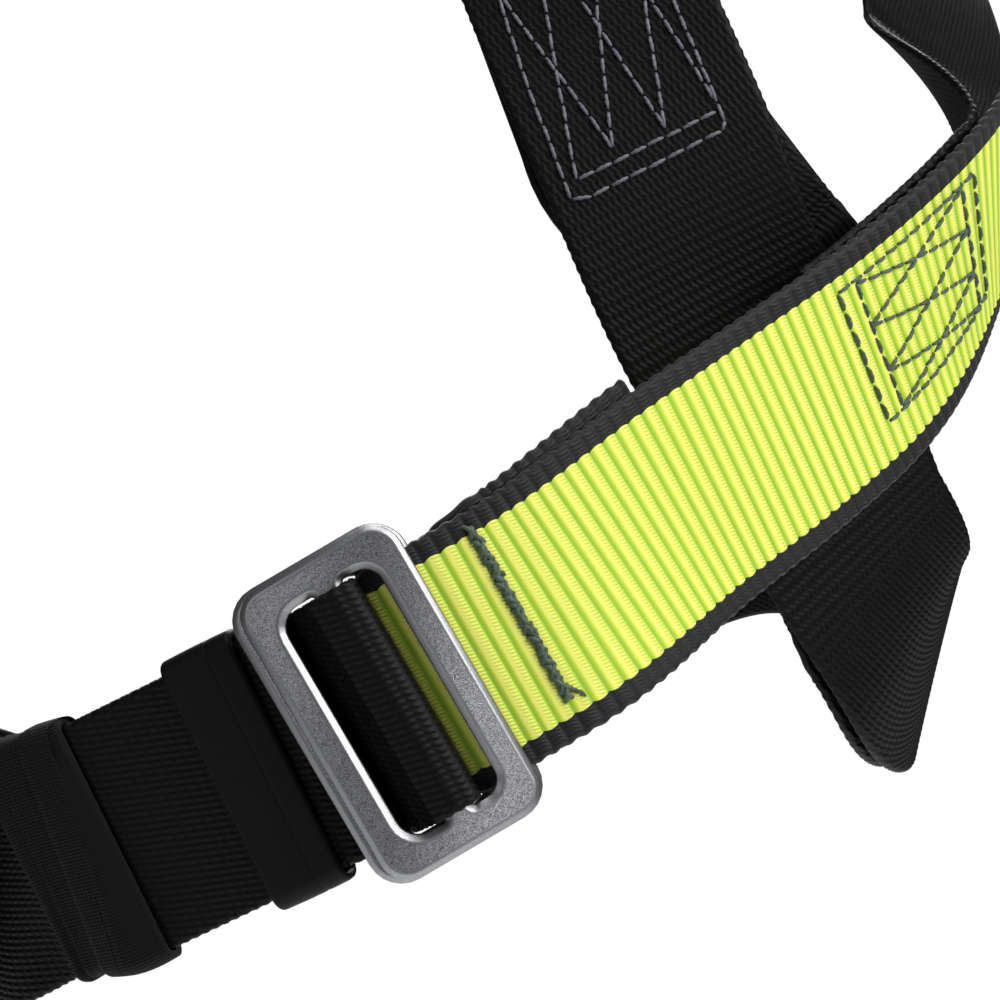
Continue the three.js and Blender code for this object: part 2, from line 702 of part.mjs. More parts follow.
SIDES.forEach(({ side, route, frame }) => {
  const buckle = groupAt(frame(LEG_FRAME));
  addNode(`leg_plate_${side}`, bucklePlate(), "zinc", buckle);
  addNode(`leg_ring_${side}`, buckleRing(), "zinc", buckle);
  addNode(`adjuster_${side}`, adjusterPlate(), "zinc", groupAt(frame(ADJUSTER_FRAME)));
  addNode(`hip_strap_${side}`, ribbon(route(HIP_STRAP), WEB_WIDTH, HI_VIS_THICK), "hiVisWeb");
  addNode(`leg_strap_${side}`, ribbon(route(LEG_ROUTE)), "blackWeb");
  addNode(`leg_tail_${side}`, ribbon(route(LEG_TAIL)), "blackWeb");
  addNode(`leg_bar_loop_${side}`, ribbon(route(along(BAR_LOOP, LEG_FRAME))), "blackWeb");
  addNode(`torso_strap_${side}`, ribbon(route(TORSO_STRAP)), "blackWeb");
  addNode(`torso_keeper_${side}`, sleeve(route(TORSO_KEEPER), TORSO_KEEPER_INNER, KEEPER_WALL), "rubber");
  const lanyardLoop = ribbon(route(LANYARD_LOOP), LANYARD_LOOP_WIDTH, LANYARD_LOOP_THICK);
  addNode(`lanyard_loop_${side}`, lanyardLoop, "blackWeb");
  addNode(`leg_keeper_${side}`, sleeve(route(LEG_KEEPER), KEEPER_INNER, KEEPER_WALL), "rubber");
  addNode(`leg_sleeve_${side}`, sleeve(route(LEG_SLEEVE), SLEEVE_INNER, SLEEVE_WALL), "elastic");
});

addNode("seat_strap", ribbon(SEAT_STRAP), "blackWeb");
addNode("shoulder_strap_right", ribbon(shoulderRoute(DORSAL_OUTER_Y)), "blackWeb");
addNode("shoulder_strap_left", ribbon(mirror(shoulderRoute(DORSAL_INNER_Y))), "blackWeb");

const chestBuckle = groupAt(CHEST_FRAME);
addNode("chest_plate", bucklePlate(), "zinc", chestBuckle);
addNode("chest_ring", buckleRing(), "zinc", chestBuckle);
addNode("chest_strap_left", ribbon(CHEST_LIVE), "blackWeb");
addNode("chest_tail", ribbon(CHEST_TAIL), "blackWeb");
addNode("chest_bar_loop", ribbon(along(BAR_LOOP, CHEST_FRAME)), "blackWeb");
addNode("chest_strap_right", ribbon(CHEST_RING_SIDE, WEB_WIDTH, HI_VIS_THICK), "blackWeb");
addNode("chest_keeper", sleeve(CHEST_KEEPER, KEEPER_INNER, KEEPER_WALL), "rubber");

addNode("label_pouch", ribbon(LABEL_POUCH, POUCH_WIDTH, POUCH_THICK), "pouch");
addNode("dorsal_shell", dorsalShell(), "plastic");
const padInner = PAD_OUTER_Y - PAD_THICK;
addNode("dorsal_pad", slab(DORSAL_WIDTH + 16, DORSAL_HEIGHT + 16, PAD_THICK, 24, padInner, 1.5), "pouch");
addNode("dorsal_ring", dorsalRing(), "steel");

export default harness;
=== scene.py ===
# Looks of the full-body safety harness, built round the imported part.
# Lengths are millimetres until a mesh is made.
import json
import math
import random
import bpy
import numpy as np
from mathutils import Matrix, Vector
from mathutils.geometry import delaunay_2d_cdt

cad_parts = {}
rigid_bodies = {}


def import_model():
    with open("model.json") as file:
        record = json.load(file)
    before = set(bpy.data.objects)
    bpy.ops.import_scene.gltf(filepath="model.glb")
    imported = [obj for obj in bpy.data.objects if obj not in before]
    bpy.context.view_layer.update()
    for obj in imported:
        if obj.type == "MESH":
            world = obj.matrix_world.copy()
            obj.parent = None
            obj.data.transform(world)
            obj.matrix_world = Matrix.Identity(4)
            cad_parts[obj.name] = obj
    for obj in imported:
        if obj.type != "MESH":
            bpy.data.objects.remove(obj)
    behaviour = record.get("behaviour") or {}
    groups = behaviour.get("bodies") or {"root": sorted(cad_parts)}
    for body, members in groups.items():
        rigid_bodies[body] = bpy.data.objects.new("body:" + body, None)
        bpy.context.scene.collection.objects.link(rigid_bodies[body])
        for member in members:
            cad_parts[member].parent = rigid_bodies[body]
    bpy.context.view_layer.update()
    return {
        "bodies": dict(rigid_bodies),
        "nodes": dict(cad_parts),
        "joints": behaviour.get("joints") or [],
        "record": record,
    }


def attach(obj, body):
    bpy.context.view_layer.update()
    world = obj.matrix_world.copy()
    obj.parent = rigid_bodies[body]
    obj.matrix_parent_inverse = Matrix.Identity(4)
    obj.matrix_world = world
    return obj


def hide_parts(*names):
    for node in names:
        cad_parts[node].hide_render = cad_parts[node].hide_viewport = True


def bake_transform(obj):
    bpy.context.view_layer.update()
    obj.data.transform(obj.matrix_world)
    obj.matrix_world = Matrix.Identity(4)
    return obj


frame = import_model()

MM = 0.001

# Webbing, as in the part
WEB_WIDTH = 45
WEB_THICK = 1.8
HI_VIS_THICK = 2
GAP = 0.35
LAYER = WEB_THICK + 1.4

# Three-bar plate, ring and adjuster, as in the part
PLATE_LONG, PLATE_SHORT, PLATE_THICK, PLATE_CORNER = 58.5, 31.9, 3.8, 5.5
WINDOW_LONG, WINDOW_SHORT = 46, 19.4
CENTRE_BAR, CENTRE_BAR_AT = 5.5, 0.6
RING_LONG, RING_SHORT, RING_SHIFT, RING_BAR, RING_CORNER = 59.6, 34.6, -0.8, 8.8, 6.5
RING_FAR_BAR = 6.6
ADJUSTER_LONG, ADJUSTER_SHORT, ADJUSTER_BAR, ADJUSTER_LOW_SLOT, ADJUSTER_CORNER = 58.5, 37.5, 6, 8, 6

# Where the metal parts sit
LEG_BUCKLE = (88.7, -138, -595.7)
LEG_BUCKLE_TURN = math.radians(30.4)
CHEST_BUCKLE = (0, -119, -150)
ADJUSTER_AT = (70, -104, -245)

# Dorsal plate, pad and ring
DORSAL_Z = -170
DORSAL_INNER_Y, DORSAL_OUTER_Y = 130, 133.4
DORSAL_WIDTH, DORSAL_HEIGHT = 104, 96
PAD_THICK, SHELL_THICK = 6, 3.5
D_RING_OUTER, D_RING_BAR, D_RING_STRAIGHT = 70, 8, 20
HINGE_OUT = 7.5


# ---- Routes: rows of a centre and the direction across the strap ----

STEPS = 6


def hermite(a, b, c, d, t):
    square = t * t * (2 * a - 5 * b + 4 * c - d)
    cube = t * t * t * (-a + 3 * b - 3 * c + d)
    return 0.5 * (2 * b + t * (c - a) + square + cube)


def smooth(rows, steps=STEPS):
    """A smooth route through given stations."""
    rows = np.array(rows, float)
    last = len(rows) - 1
    route = []
    for i in range(last):
        a, d = rows[max(i - 1, 0)], rows[min(i + 2, last)]
        route += [hermite(a, rows[i], rows[i + 1], d, k / steps) for k in range(steps)]
    return np.array(route + [rows[last]])


def glide(rows, steps=STEPS):
    """A smooth route through stations that are not evenly spaced."""
    rows = np.array(rows, float)
    gaps = np.linalg.norm(np.diff(rows[:, :3], axis=0), axis=1)[:, None]
    slopes = np.diff(rows, axis=0) / gaps
    inner = (slopes[:-1] * gaps[1:] + slopes[1:] * gaps[:-1]) / (gaps[:-1] + gaps[1:])
    slopes = np.vstack([slopes[:1], inner, slopes[-1:]])
    k = np.arange(steps)[:, None] / steps
    route = []
    for i, gap in enumerate(gaps):
        route.append(rows[i] + (rows[i + 1] - rows[i]) * (3 - 2 * k) * k * k
                     + gap * k * (k - 1) * (slopes[i] * (k - 1) + slopes[i + 1] * k))
    return np.vstack([*route, rows[-1:]])


def unit(v):
    return v / np.linalg.norm(v, axis=-1, keepdims=True)


def axes_along(route):
    """Centre, direction across and normal at each row of a route."""
    centre = route[:, :3]
    padded = np.vstack([centre[:1], centre, centre[-1:]])
    tangent = unit(padded[2:] - padded[:-2])
    across = route[:, 3:6] - (route[:, 3:6] * tangent).sum(1, keepdims=True) * tangent
    across = unit(across)
    return centre, across, np.cross(tangent, across)


def offset(route, distance):
    centre, across, normal = axes_along(route)
    return np.hstack([centre + normal * distance, across])


def drift(route, amounts):
    """The same route moved along its direction across, by amounts given at its listed stations."""
    centre, across, normal = axes_along(route)
    amount = np.interp(np.arange(len(route)) / STEPS, np.arange(len(amounts)), amounts)
    return np.hstack([centre + across * amount[:, None], across])


def mirror(route):
    return route * np.array([-1, 1, 1, -1, 1, 1])


def flip(route):
    return route * np.array([1, 1, 1, -1, -1, -1])


def between(route, first, last):
    """The stretch of a smooth route from one station to another."""
    return route[round(first * STEPS):round(last * STEPS) + 1]


def join(*routes):
    return np.vstack(routes)


class Frame:
    """A place with u along the strap, v out of the face and w across."""

    def __init__(self, centre, u, v, w):
        self.centre, self.u, self.v, self.w = (np.array(a, float) for a in (centre, u, v, w))

    def along(self, points):
        return np.array([[*(self.centre + self.u * u + self.v * v), *self.w] for u, v in points])

    def mirrored(self):
        flipped = np.array([-1, 1, 1])
        return Frame(self.centre * flipped, self.u * flipped, self.v * flipped, self.w * flipped)

    def point(self, u, v, w=0):
        return self.centre + self.u * u + self.v * v + self.w * w


def arc(centre, radius, start, end, steps=4):
    angles = np.radians(np.linspace(start, end, steps + 1))
    return [(centre[0] + radius * math.cos(a), centre[1] + radius * math.sin(a)) for a in angles]


COS, SIN = math.cos(LEG_BUCKLE_TURN), math.sin(LEG_BUCKLE_TURN)
LEG_FRAME = Frame(LEG_BUCKLE, (COS, 0, SIN), (0, -1, 0), (-SIN, 0, COS))
CHEST_FRAME = Frame(CHEST_BUCKLE, (-1, 0, 0), (0, -1, 0), (0, 0, -1))
ADJUSTER_FRAME = Frame(ADJUSTER_AT, (0, 0, 1), (0, -1, 0), (-1, 0, 0))

# Heights of the layers below the plate's middle
HALF_PLATE = PLATE_THICK / 2
HI_VIS_TOP = -HALF_PLATE - GAP - HI_VIS_THICK / 2
RING_TOP = HI_VIS_TOP - HI_VIS_THICK / 2 - GAP
RING_BOTTOM = RING_TOP - PLATE_THICK
HI_VIS_BACK = RING_BOTTOM - GAP - HI_VIS_THICK / 2
LIVE_LAYER = RING_BOTTOM - GAP - WEB_THICK / 2
TAIL_LAYER = LIVE_LAYER - WEB_THICK - 0.6
TAIL_GAP = LIVE_LAYER - TAIL_LAYER
RING_INNER = RING_SHIFT + RING_SHORT / 2 - RING_BAR
BAR_LOW = CENTRE_BAR_AT - CENTRE_BAR / 2
BAR_HIGH = CENTRE_BAR_AT + CENTRE_BAR / 2

# The webbing round the plate's centre bar, from the live layer over the bar to the tail layer
BAR_LOOP = [
    (-8.5, LIVE_LAYER + 0.5), (-7.1, -5.2), (-3.3, 2.3),
    *arc((BAR_LOW, HALF_PLATE), 1.45, 145, 100, 2),
    (CENTRE_BAR_AT, HALF_PLATE + 2),
    *arc((BAR_HIGH, HALF_PLATE), 1.4, 50, 0, 2),
    *arc((BAR_HIGH, -HALF_PLATE), 1.4, 0, -30, 2),
    (2.2, -6.4), (-1.2, -8.9), (-5, -10.9), (-8.5, TAIL_LAYER),
]


def hi_vis_loop(back_end):
    """The webbing round the ring's outer bar, from its back layer to its top layer."""
    radius = GAP + HI_VIS_THICK / 2
    return [
        *back_end,
        (RING_INNER + RING_BAR, HI_VIS_BACK),
        *arc((RING_INNER, RING_BOTTOM), radius, 270, 180),
        *arc((RING_INNER, RING_TOP), radius, 180, 90),
        (RING_INNER + RING_BAR + 2, HI_VIS_TOP),
    ]


HIP_ROUTE = glide([
    LEG_FRAME.along([(20, HI_VIS_TOP - 0.1)])[0],
    LEG_FRAME.along([(30, HI_VIS_TOP - 1.6)])[0],
    (143.3, -114, -559, -0.46, -0.20, 0.87),
    (161.5, -99, -546.1, -0.43, -0.26, 0.86),
    (180.6, -82, -531.4, -0.33, -0.35, 0.87),
    (204.4, -49, -504, -0.08, -0.54, 0.84),
    (214.4, -12, -483, 0, -0.56, 0.83),
])
HIP_DRIFT = [1.6, 2.5]
HIP_STRAP = join(
    drift(offset(between(HIP_ROUTE, 1, 2), -HI_VIS_THICK - 0.5), HIP_DRIFT)[::-1],
    LEG_FRAME.along(hi_vis_loop([(23, HI_VIS_BACK + 1.2)])),
    HIP_ROUTE,
)

SEAT_ROUTE = smooth([
    (108.4, -66, -420, -0.93, 0, -0.30),
    (121.4, -73, -456, -0.90, 0.10, -0.35),
    (136.4, -84, -492, -0.91, 0, -0.41),
    (151.4, -80, -526, -0.86, -0.15, -0.48),
    (168, -72, -553.5, -0.77, -0.36, -0.53),
    (183.9, -61, -578.5, -0.62, -0.36, -0.70),
    (190.8, -44, -591, -0.42, -0.32, -0.85),
    (196, -15, -592, -0.20, -0.25, -0.95),
    (194, 24, -583, 0.12, -0.20, -0.97),
    (184, 62, -570, 0.28, -0.10, -0.95),
    (164, 94, -564, 0.33, -0.05, -0.94),
    (134, 116, -576, 0.40, -0.05, -0.91),
    (92, 129, -601, 0.42, -0.05, -0.90),
    (44, 136, -626, 0.32, -0.05, -0.94),
    (0, 138, -641, 0, 0, -1),
])
SEAT_STRAP = join(SEAT_ROUTE, mirror(SEAT_ROUTE)[::-1][1:])

LEG_LINE_FROM = np.array([71.4, -128.1, -605])
LEG_LINE_TO = np.array([35.2, -115, -622.9])
LEG_LINE_ACROSS = (-0.455, 0, 0.89)
LEG_TURN_ACROSS = (-0.38, 0, 0.925)


def leg_line(t, across=LEG_LINE_ACROSS):
    """A row on the straight stretch of the leg strap that the keeper slides on."""
    return np.array([*(LEG_LINE_FROM + (LEG_LINE_TO - LEG_LINE_FROM) * t), *across])


LEG_FRONT = join(
    LEG_FRAME.along([(-14, LIVE_LAYER - 0.1)]),
    [leg_line(0), leg_line(0.5), leg_line(0.82)],
)
LEG_CURVE = smooth([
    leg_line(1, LEG_TURN_ACROSS),
    (22, -104, -627, -0.27, -0.20, 0.92),
    (12.5, -86, -633.5, -0.12, -0.14, 0.97),
    (9, -55, -638, 0.05, 0.10, 0.99),
    (9, -15, -638, 0.05, 0.10, 0.99),
    (16, 28, -634, 0.05, 0.05, 0.99),
    (32, 72, -629, -0.10, 0, 0.99),
    (56, 104, -619, -0.30, 0, 0.95),
])
LEG_LIVE = join(LEG_FRONT, LEG_CURVE, flip(between(offset(SEAT_ROUTE, LAYER), 11, 12))[::-1])
LEG_TAIL = offset(join(LEG_FRONT, between(LEG_CURVE, 0, 1)), TAIL_GAP)
LEG_WEBBING = join(LEG_LIVE[::-1], LEG_FRAME.along(BAR_LOOP), LEG_TAIL)

# The shoulder straps: from one hip, up the back, over the other shoulder to its adjuster
HALF_ADJUSTER = ADJUSTER_SHORT / 2
ADJUSTER_TOP_SLOT = HALF_ADJUSTER - ADJUSTER_BAR
ADJUSTER_BAR_LOW = -HALF_ADJUSTER + ADJUSTER_BAR + ADJUSTER_LOW_SLOT
ADJUSTER_BAR_HIGH = ADJUSTER_BAR_LOW + CENTRE_BAR
WEB_OFF = HALF_PLATE + GAP + WEB_THICK / 2
WRAP = GAP + WEB_THICK / 2


def shoulder_front(crossing_y):
    """From the dorsal plate over the shoulder and down to the adjuster."""
    return smooth([
        (-47, crossing_y, -105, 0.81, 0, 0.58),
        (-66, 98, -38, 0.95, 0, 0.25),
        (-74, 52, 0, 1, 0, 0),
        (-76, 0, 6, 1, 0, 0),
        (-77, -50, -22, 1, 0, 0),
        (-75, -88, -80, 1, 0, 0),
        (-71, -103, -150, 1, 0, 0),
        (-70, -107, -205, 1, 0, 0),
    ])


def shoulder_route(crossing_y):
    back = smooth([
        (200, 3.5, -471.5, -0.74, -0.50, 0.42),
        (195, 46, -430, -0.62, -0.60, 0.46),
        (166, 92, -372, 0.51, -0.45, 0.68),
        (118, 118, -312, 0.65, -0.25, 0.66),
        (52, crossing_y, -242, 0.81, 0, 0.58),
    ])
    loop = mirror(ADJUSTER_FRAME.along([
        (HALF_ADJUSTER + 6, WEB_OFF),
        *arc((ADJUSTER_TOP_SLOT, HALF_PLATE), WRAP, 90, 180),
        *arc((ADJUSTER_TOP_SLOT, -HALF_PLATE), WRAP, 180, 270),
        (HALF_ADJUSTER + 6, -WEB_OFF),
        (HALF_ADJUSTER + 34, -WEB_OFF + 3.3),
    ]))
    on_hip = between(offset(HIP_ROUTE, -LAYER), 11 / 3, 5)
    return join(on_hip, back, shoulder_front(crossing_y), loop)


# The torso strap threads the adjuster; its tail hangs down in front through the torso keeper
TORSO_LAYER = LAYER + 1
TORSO_DRIFT = [0, 0, 1.5, -9.5, -5, 0, 0, 0]
TORSO_LINE = [(-27, WEB_OFF - 0.4), (-55, WEB_OFF - 2.8)]
TORSO_LINE_TILT = math.atan2(2.4, 28)


def tail_over(point):
    out = LAYER * math.sin(TORSO_LINE_TILT), LAYER * math.cos(TORSO_LINE_TILT)
    return point[0] - out[0], point[1] + out[1]


TORSO_STRAP = join(
    ADJUSTER_FRAME.along([
        (-130, WEB_OFF - 27),
        (-96, WEB_OFF - 12),
        tail_over(TORSO_LINE[1]),
        tail_over(TORSO_LINE[0]),
        (-HALF_ADJUSTER, WEB_OFF + LAYER - 0.6),
        (ADJUSTER_BAR_LOW - 3, WEB_OFF + 1.4),
        *arc((ADJUSTER_BAR_HIGH, HALF_PLATE), WRAP, 90, 0),
        *arc((ADJUSTER_BAR_HIGH, -HALF_PLATE), WRAP, 0, -90),
        *arc((ADJUSTER_BAR_LOW, -HALF_PLATE), WRAP, -90, -150, 2),
        *arc((-HALF_ADJUSTER + ADJUSTER_BAR, HALF_PLATE), WRAP, 30, 90, 2),
        (-HALF_ADJUSTER, WEB_OFF),
        TORSO_LINE[0],
    ]),
    smooth([
        ADJUSTER_FRAME.along([TORSO_LINE[1]])[0],
        (72, -94, -325, -1, 0, -0.14),
        (78, -76, -355, -0.97, 0, -0.20),
        (91, -64, -388, -0.95, 0, -0.25),
    ]),
    drift(between(offset(SEAT_ROUTE, TORSO_LAYER), 0, 7), TORSO_DRIFT),
)

# Chest strap
CHEST_HALF_SPAN = 96
CHEST_POINTS = [
    (-18, LIVE_LAYER),
    (-46, LIVE_LAYER),
    (-72, LIVE_LAYER + 0.2),
    (-CHEST_HALF_SPAN, LIVE_LAYER - 2.3),
]
CHEST_LIVE = CHEST_FRAME.along(CHEST_POINTS)
CHEST_TAIL = offset(CHEST_LIVE[:2], TAIL_GAP)
CHEST_WEBBING = join(CHEST_LIVE[::-1], CHEST_FRAME.along(BAR_LOOP), CHEST_TAIL)
CHEST_RING_SIDE = CHEST_FRAME.along([
    *hi_vis_loop([(44, HI_VIS_TOP - HI_VIS_THICK - 0.7), (28, HI_VIS_BACK + 2.5)]),
    (28, HI_VIS_TOP - 0.2),
    (72, LIVE_LAYER + 0.2),
    (CHEST_HALF_SPAN, LIVE_LAYER - 2.3),
])

# Keepers, sleeves and loops
TWO_LAYERS = 2 * WEB_THICK + 0.6
SLIDE_FIT = 0.9
KEEPER_INNER, KEEPER_WALL = (WEB_WIDTH + 1.3, TWO_LAYERS + SLIDE_FIT), 1.7
SLEEVE_INNER, SLEEVE_WALL = (WEB_WIDTH + 0.6, TWO_LAYERS + 1.2), 0.9
LEG_KEEPER = offset(np.array([leg_line(0.02), leg_line(0.37)]), TAIL_GAP / 2)
LEG_SLEEVE = offset(join([leg_line(0.9, LEG_TURN_ACROSS)], between(LEG_CURVE, 0, 1)), TAIL_GAP / 2)
TORSO_KEEPER = ADJUSTER_FRAME.along([
    tuple(np.array(TORSO_LINE[0]) + (np.array(TORSO_LINE[1]) - TORSO_LINE[0]) * t
          + np.array([0, LAYER / 2 / math.cos(TORSO_LINE_TILT)]))
    for t in (0.28, 0.72)
])
TORSO_KEEPER_INNER = (WEB_WIDTH + SLIDE_FIT, WEB_THICK + LAYER + SLIDE_FIT)
CHEST_KEEPER = CHEST_FRAME.along([(u, (LIVE_LAYER + TAIL_LAYER) / 2) for u in (-24, -38)])
LANYARD_LOOP_WIDTH, LANYARD_LOOP_THICK = 25, 1.5
LANYARD_LOOP = Frame((70, -109.6, -195), (0, 0, 1), (0, -1, 0), (1, 0, 0)).along(
    [tuple(row) for row in smooth([(-16, 0), (-9, 0.1), (-7, 4.8), (0, 9), (7, 4), (9, -1.2), (16, -2.2)])])
POUCH_WIDTH, POUCH_THICK = 52, 4
POUCH_OFF = WEB_THICK / 2 + 0.7 + POUCH_THICK / 2
LABEL_POUCH = between(offset(shoulder_front(DORSAL_OUTER_Y), POUCH_OFF), 13 / 3, 16 / 3)


# ---- Straps: a route resampled by length, with a surface that stitches can be laid on ----

class Strap:
    """A route as closely spaced axes, read by s along it and t across it."""

    def __init__(self, route, width=WEB_WIDTH, thick=WEB_THICK, dense=12):
        self.width, self.thick = width, thick
        curve = self.spline(route, dense)
        steps = np.linalg.norm(np.diff(curve[:, :3], axis=0), axis=1)
        self.s = np.concatenate([[0], np.cumsum(steps)])
        self.length = self.s[-1]
        self.centre, self.across, self.normal = axes_along(curve)

    @staticmethod
    def spline(route, dense):
        """A centripetal Catmull-Rom curve, which doesn't overshoot where rows are uneven."""
        chord = np.linalg.norm(np.diff(route[:, :3], axis=0), axis=1)
        keep = np.concatenate([[True], chord > 0.02])
        route = route[keep]
        h = np.sqrt(np.linalg.norm(np.diff(route[:, :3], axis=0), axis=1))[:, None]
        slope = np.diff(route, axis=0) / h
        m = np.vstack([slope[:1], (slope[:-1] * h[1:] + slope[1:] * h[:-1]) / (h[:-1] + h[1:]), slope[-1:]])
        rows = []
        for k in range(dense):
            t = k / dense
            rows.append((2 * t**3 - 3 * t**2 + 1) * route[:-1] + (t**3 - 2 * t**2 + t) * h * m[:-1]
                        + (3 * t**2 - 2 * t**3) * route[1:] + (t**3 - t**2) * h * m[1:])
        curve = np.stack(rows, 1).reshape(-1, route.shape[1])
        return np.vstack([curve, route[-1:]])

    def at(self, s):
        read = [np.stack([np.interp(s, self.s, a[:, i]) for i in range(3)], -1)
                for a in (self.centre, self.across, self.normal)]
        return read[0], unit(read[1]), unit(read[2])

    def surface(self, s, t, height):
        """Points at s, t and a height off the middle of the webbing."""
        centre, across, normal = self.at(np.asarray(s, float))
        return centre + across * np.asarray(t)[..., None] + normal * np.asarray(height)[..., None]


# ---- Meshes ----

def enclosed(points, corners, totals, starts):
    """Six times the volume inside the faces; negative when they face inwards."""
    first = points[np.repeat(corners[starts], totals)]
    following = np.arange(len(corners)) + 1
    following[starts + totals - 1] = starts
    return float((first * np.cross(points[corners], points[corners[following]])).sum())


def finish_mesh(name, points, corners, totals, uv=None, kinds=None, looks=()):
    """A smooth object from points in millimetres and faces given as corner indices and corner counts."""
    points, corners, totals = np.asarray(points, float), np.asarray(corners), np.asarray(totals)
    starts = np.concatenate([[0], np.cumsum(totals)[:-1]])
    if enclosed(points - points.mean(0), corners, totals, starts) < 0:
        corners, totals = corners[::-1], totals[::-1]
        kinds = None if kinds is None else kinds[::-1]
        starts = np.concatenate([[0], np.cumsum(totals)[:-1]])
    mesh = bpy.data.meshes.new(name)
    mesh.vertices.add(len(points))
    mesh.vertices.foreach_set("co", (points * MM).astype(np.float32).ravel())
    mesh.loops.add(len(corners))
    mesh.loops.foreach_set("vertex_index", corners.astype(np.int32))
    mesh.polygons.add(len(totals))
    mesh.polygons.foreach_set("loop_start", starts.astype(np.int32))
    mesh.polygons.foreach_set("use_smooth", np.ones(len(totals), bool))
    if kinds is not None:
        mesh.polygons.foreach_set("material_index", np.ascontiguousarray(kinds, np.int32))
    if uv is not None:
        layer = mesh.uv_layers.new(name="weave")
        layer.data.foreach_set("uv", np.asarray(uv)[corners].astype(np.float32).ravel())
    mesh.update(calc_edges=True)
    for look in looks:
        mesh.materials.append(look)
    piece = bpy.data.objects.new(name, mesh)
    bpy.context.scene.collection.objects.link(piece)
    return piece


def grid_quads(rows, columns, closed_rows=False):
    """Corner indices of the quads between rings of points."""
    i = np.arange(rows if closed_rows else rows - 1)[:, None]
    j = np.arange(columns)[None]
    here, there = i * columns, (i + 1) % rows * columns
    k = (j + 1) % columns
    return np.stack([here + j, here + k, there + k, there + j], -1).reshape(-1, 4)


def tube(name, rings, looks, uv=None, closed_path=False):
    """A tube through rings of points, shaped (rings, points, 3)."""
    count, around = rings.shape[:2]
    quads = grid_quads(count, around, closed_path)
    corners, totals = [quads.ravel()], [np.full(len(quads), 4)]
    if not closed_path:
        corners += [np.arange(around)[::-1], np.arange(around) + (count - 1) * around]
        totals += [np.array([around, around])]
    return finish_mesh(name, rings.reshape(-1, 3), np.concatenate(corners), np.concatenate(totals), uv,
                       looks=looks)


def twin(piece, name):
    """The same piece on the other side of the wearer."""
    mesh = piece.data.copy()
    mesh.name = name
    mesh.transform(Matrix.Diagonal((-1, 1, 1, 1)))
    mesh.flip_normals()
    copy = bpy.data.objects.new(name, mesh)
    bpy.context.scene.collection.objects.link(copy)
    return copy


# ---- Weaves: how a webbing's face rises and falls, in millimetres ----

ROW_PITCH, GRAIN_PITCH = 2.15, 1.29
RIB_PITCH, YARN_PITCH = 3.2, 0.69
BORDER, BORDER_YARN = 4.1, 0.82


def grain_height(s, t):
    """Plain weave: rows of short slanting floats, each row half a float from the next."""
    row = s / ROW_PITCH
    lean = row - np.round(row)
    bump = 0.5 + 0.5 * np.cos(2 * np.pi * (t / GRAIN_PITCH + 0.5 * lean)) * np.cos(np.pi * row)
    return 0.19 * bump ** 1.3 + 0.05 * np.cos(2 * np.pi * row)


def hi_vis_height(s, t):
    """Ribs across the webbing, with coarse yarns in the dyed edges."""
    phase = s / RIB_PITCH - np.floor(s / RIB_PITCH)
    rib = np.sin(np.pi * phase) ** 0.8
    yarn = np.cos(2 * np.pi * (t / BORDER_YARN + 0.7 * phase))
    return 0.36 * rib * (1 + np.where(np.abs(t) > WEB_WIDTH / 2 - BORDER, 0.2 * yarn, 0))


class Weave:
    def __init__(self, height, pitch, wander, along, across, edge_across):
        self.height, self.pitch, self.wander = height, pitch, wander
        self.along, self.across, self.edge_across = along, across, edge_across

    def columns(self, width, detailed):
        """Positions across a strap, closer together towards its rounded edges."""
        inner = width / 2 - 1.2
        border = inner - (BORDER if detailed and self.edge_across else 0)
        step = self.across if detailed else 3.0
        middle = np.linspace(-border, border, round(2 * border / step) + 1)
        sides = [inner + 1.2 * np.sin(np.radians([25, 50, 90]))]
        if border < inner:
            sides.append(np.linspace(border, inner, round(BORDER / self.edge_across) + 1)[1:])
        else:
            sides.append([])
        side = np.sort(np.concatenate(sides))
        return np.concatenate([-side[::-1], middle, side])


BLACK_WEAVE = Weave(grain_height, ROW_PITCH, 0.10, 0.43, 0.33, None)
HI_VIS_WEAVE = Weave(hi_vis_height, RIB_PITCH, 0.18, 0.375, 1.3, 0.27)
FADE = 4.0
EDGE = 1.2


def stretch(strap, weave, start, end, detailed):
    """Rings of one stretch of a strap, their texture coordinates, and the number of columns on one face."""
    s = np.linspace(start, end, math.ceil((end - start) / (weave.along if detailed else 1.3)) + 1)
    t = weave.columns(strap.width, detailed)
    half = strap.width / 2
    profile = np.sqrt(np.clip(1 - np.clip((np.abs(t) - half + EDGE) / EDGE, 0, 1) ** 2, 0, 1))
    fade = np.full(s.shape, 1.0 if detailed else 0.0)
    if detailed and start > 0:
        fade *= np.clip((s - start) / FADE, 0, 1)
    if detailed and end < strap.length:
        fade *= np.clip((end - s) / FADE, 0, 1)
    fade = (fade * fade * (3 - 2 * fade))[:, None]
    grid_s, grid_t = np.meshgrid(s, t, indexing="ij")
    wander = weave.wander * fade * np.cos(2 * np.pi * grid_s / weave.pitch) * (np.abs(grid_t) / half) ** 6
    real_t = grid_t + np.sign(grid_t) * wander
    body = strap.thick / 2 - 0.1 * fade
    front = (body + fade * weave.height(grid_s, grid_t)) * profile
    back = -(body + fade * weave.height(grid_s + weave.pitch / 2, grid_t)) * profile
    top = strap.surface(grid_s, real_t, front)
    under = strap.surface(grid_s, real_t, back)[:, -2:0:-1]
    ring_t = np.concatenate([grid_t, grid_t[:, -2:0:-1]], 1)
    uv = np.stack([np.broadcast_to(s[:, None], ring_t.shape), ring_t], -1)
    return np.concatenate([top, under], 1), uv, len(t)


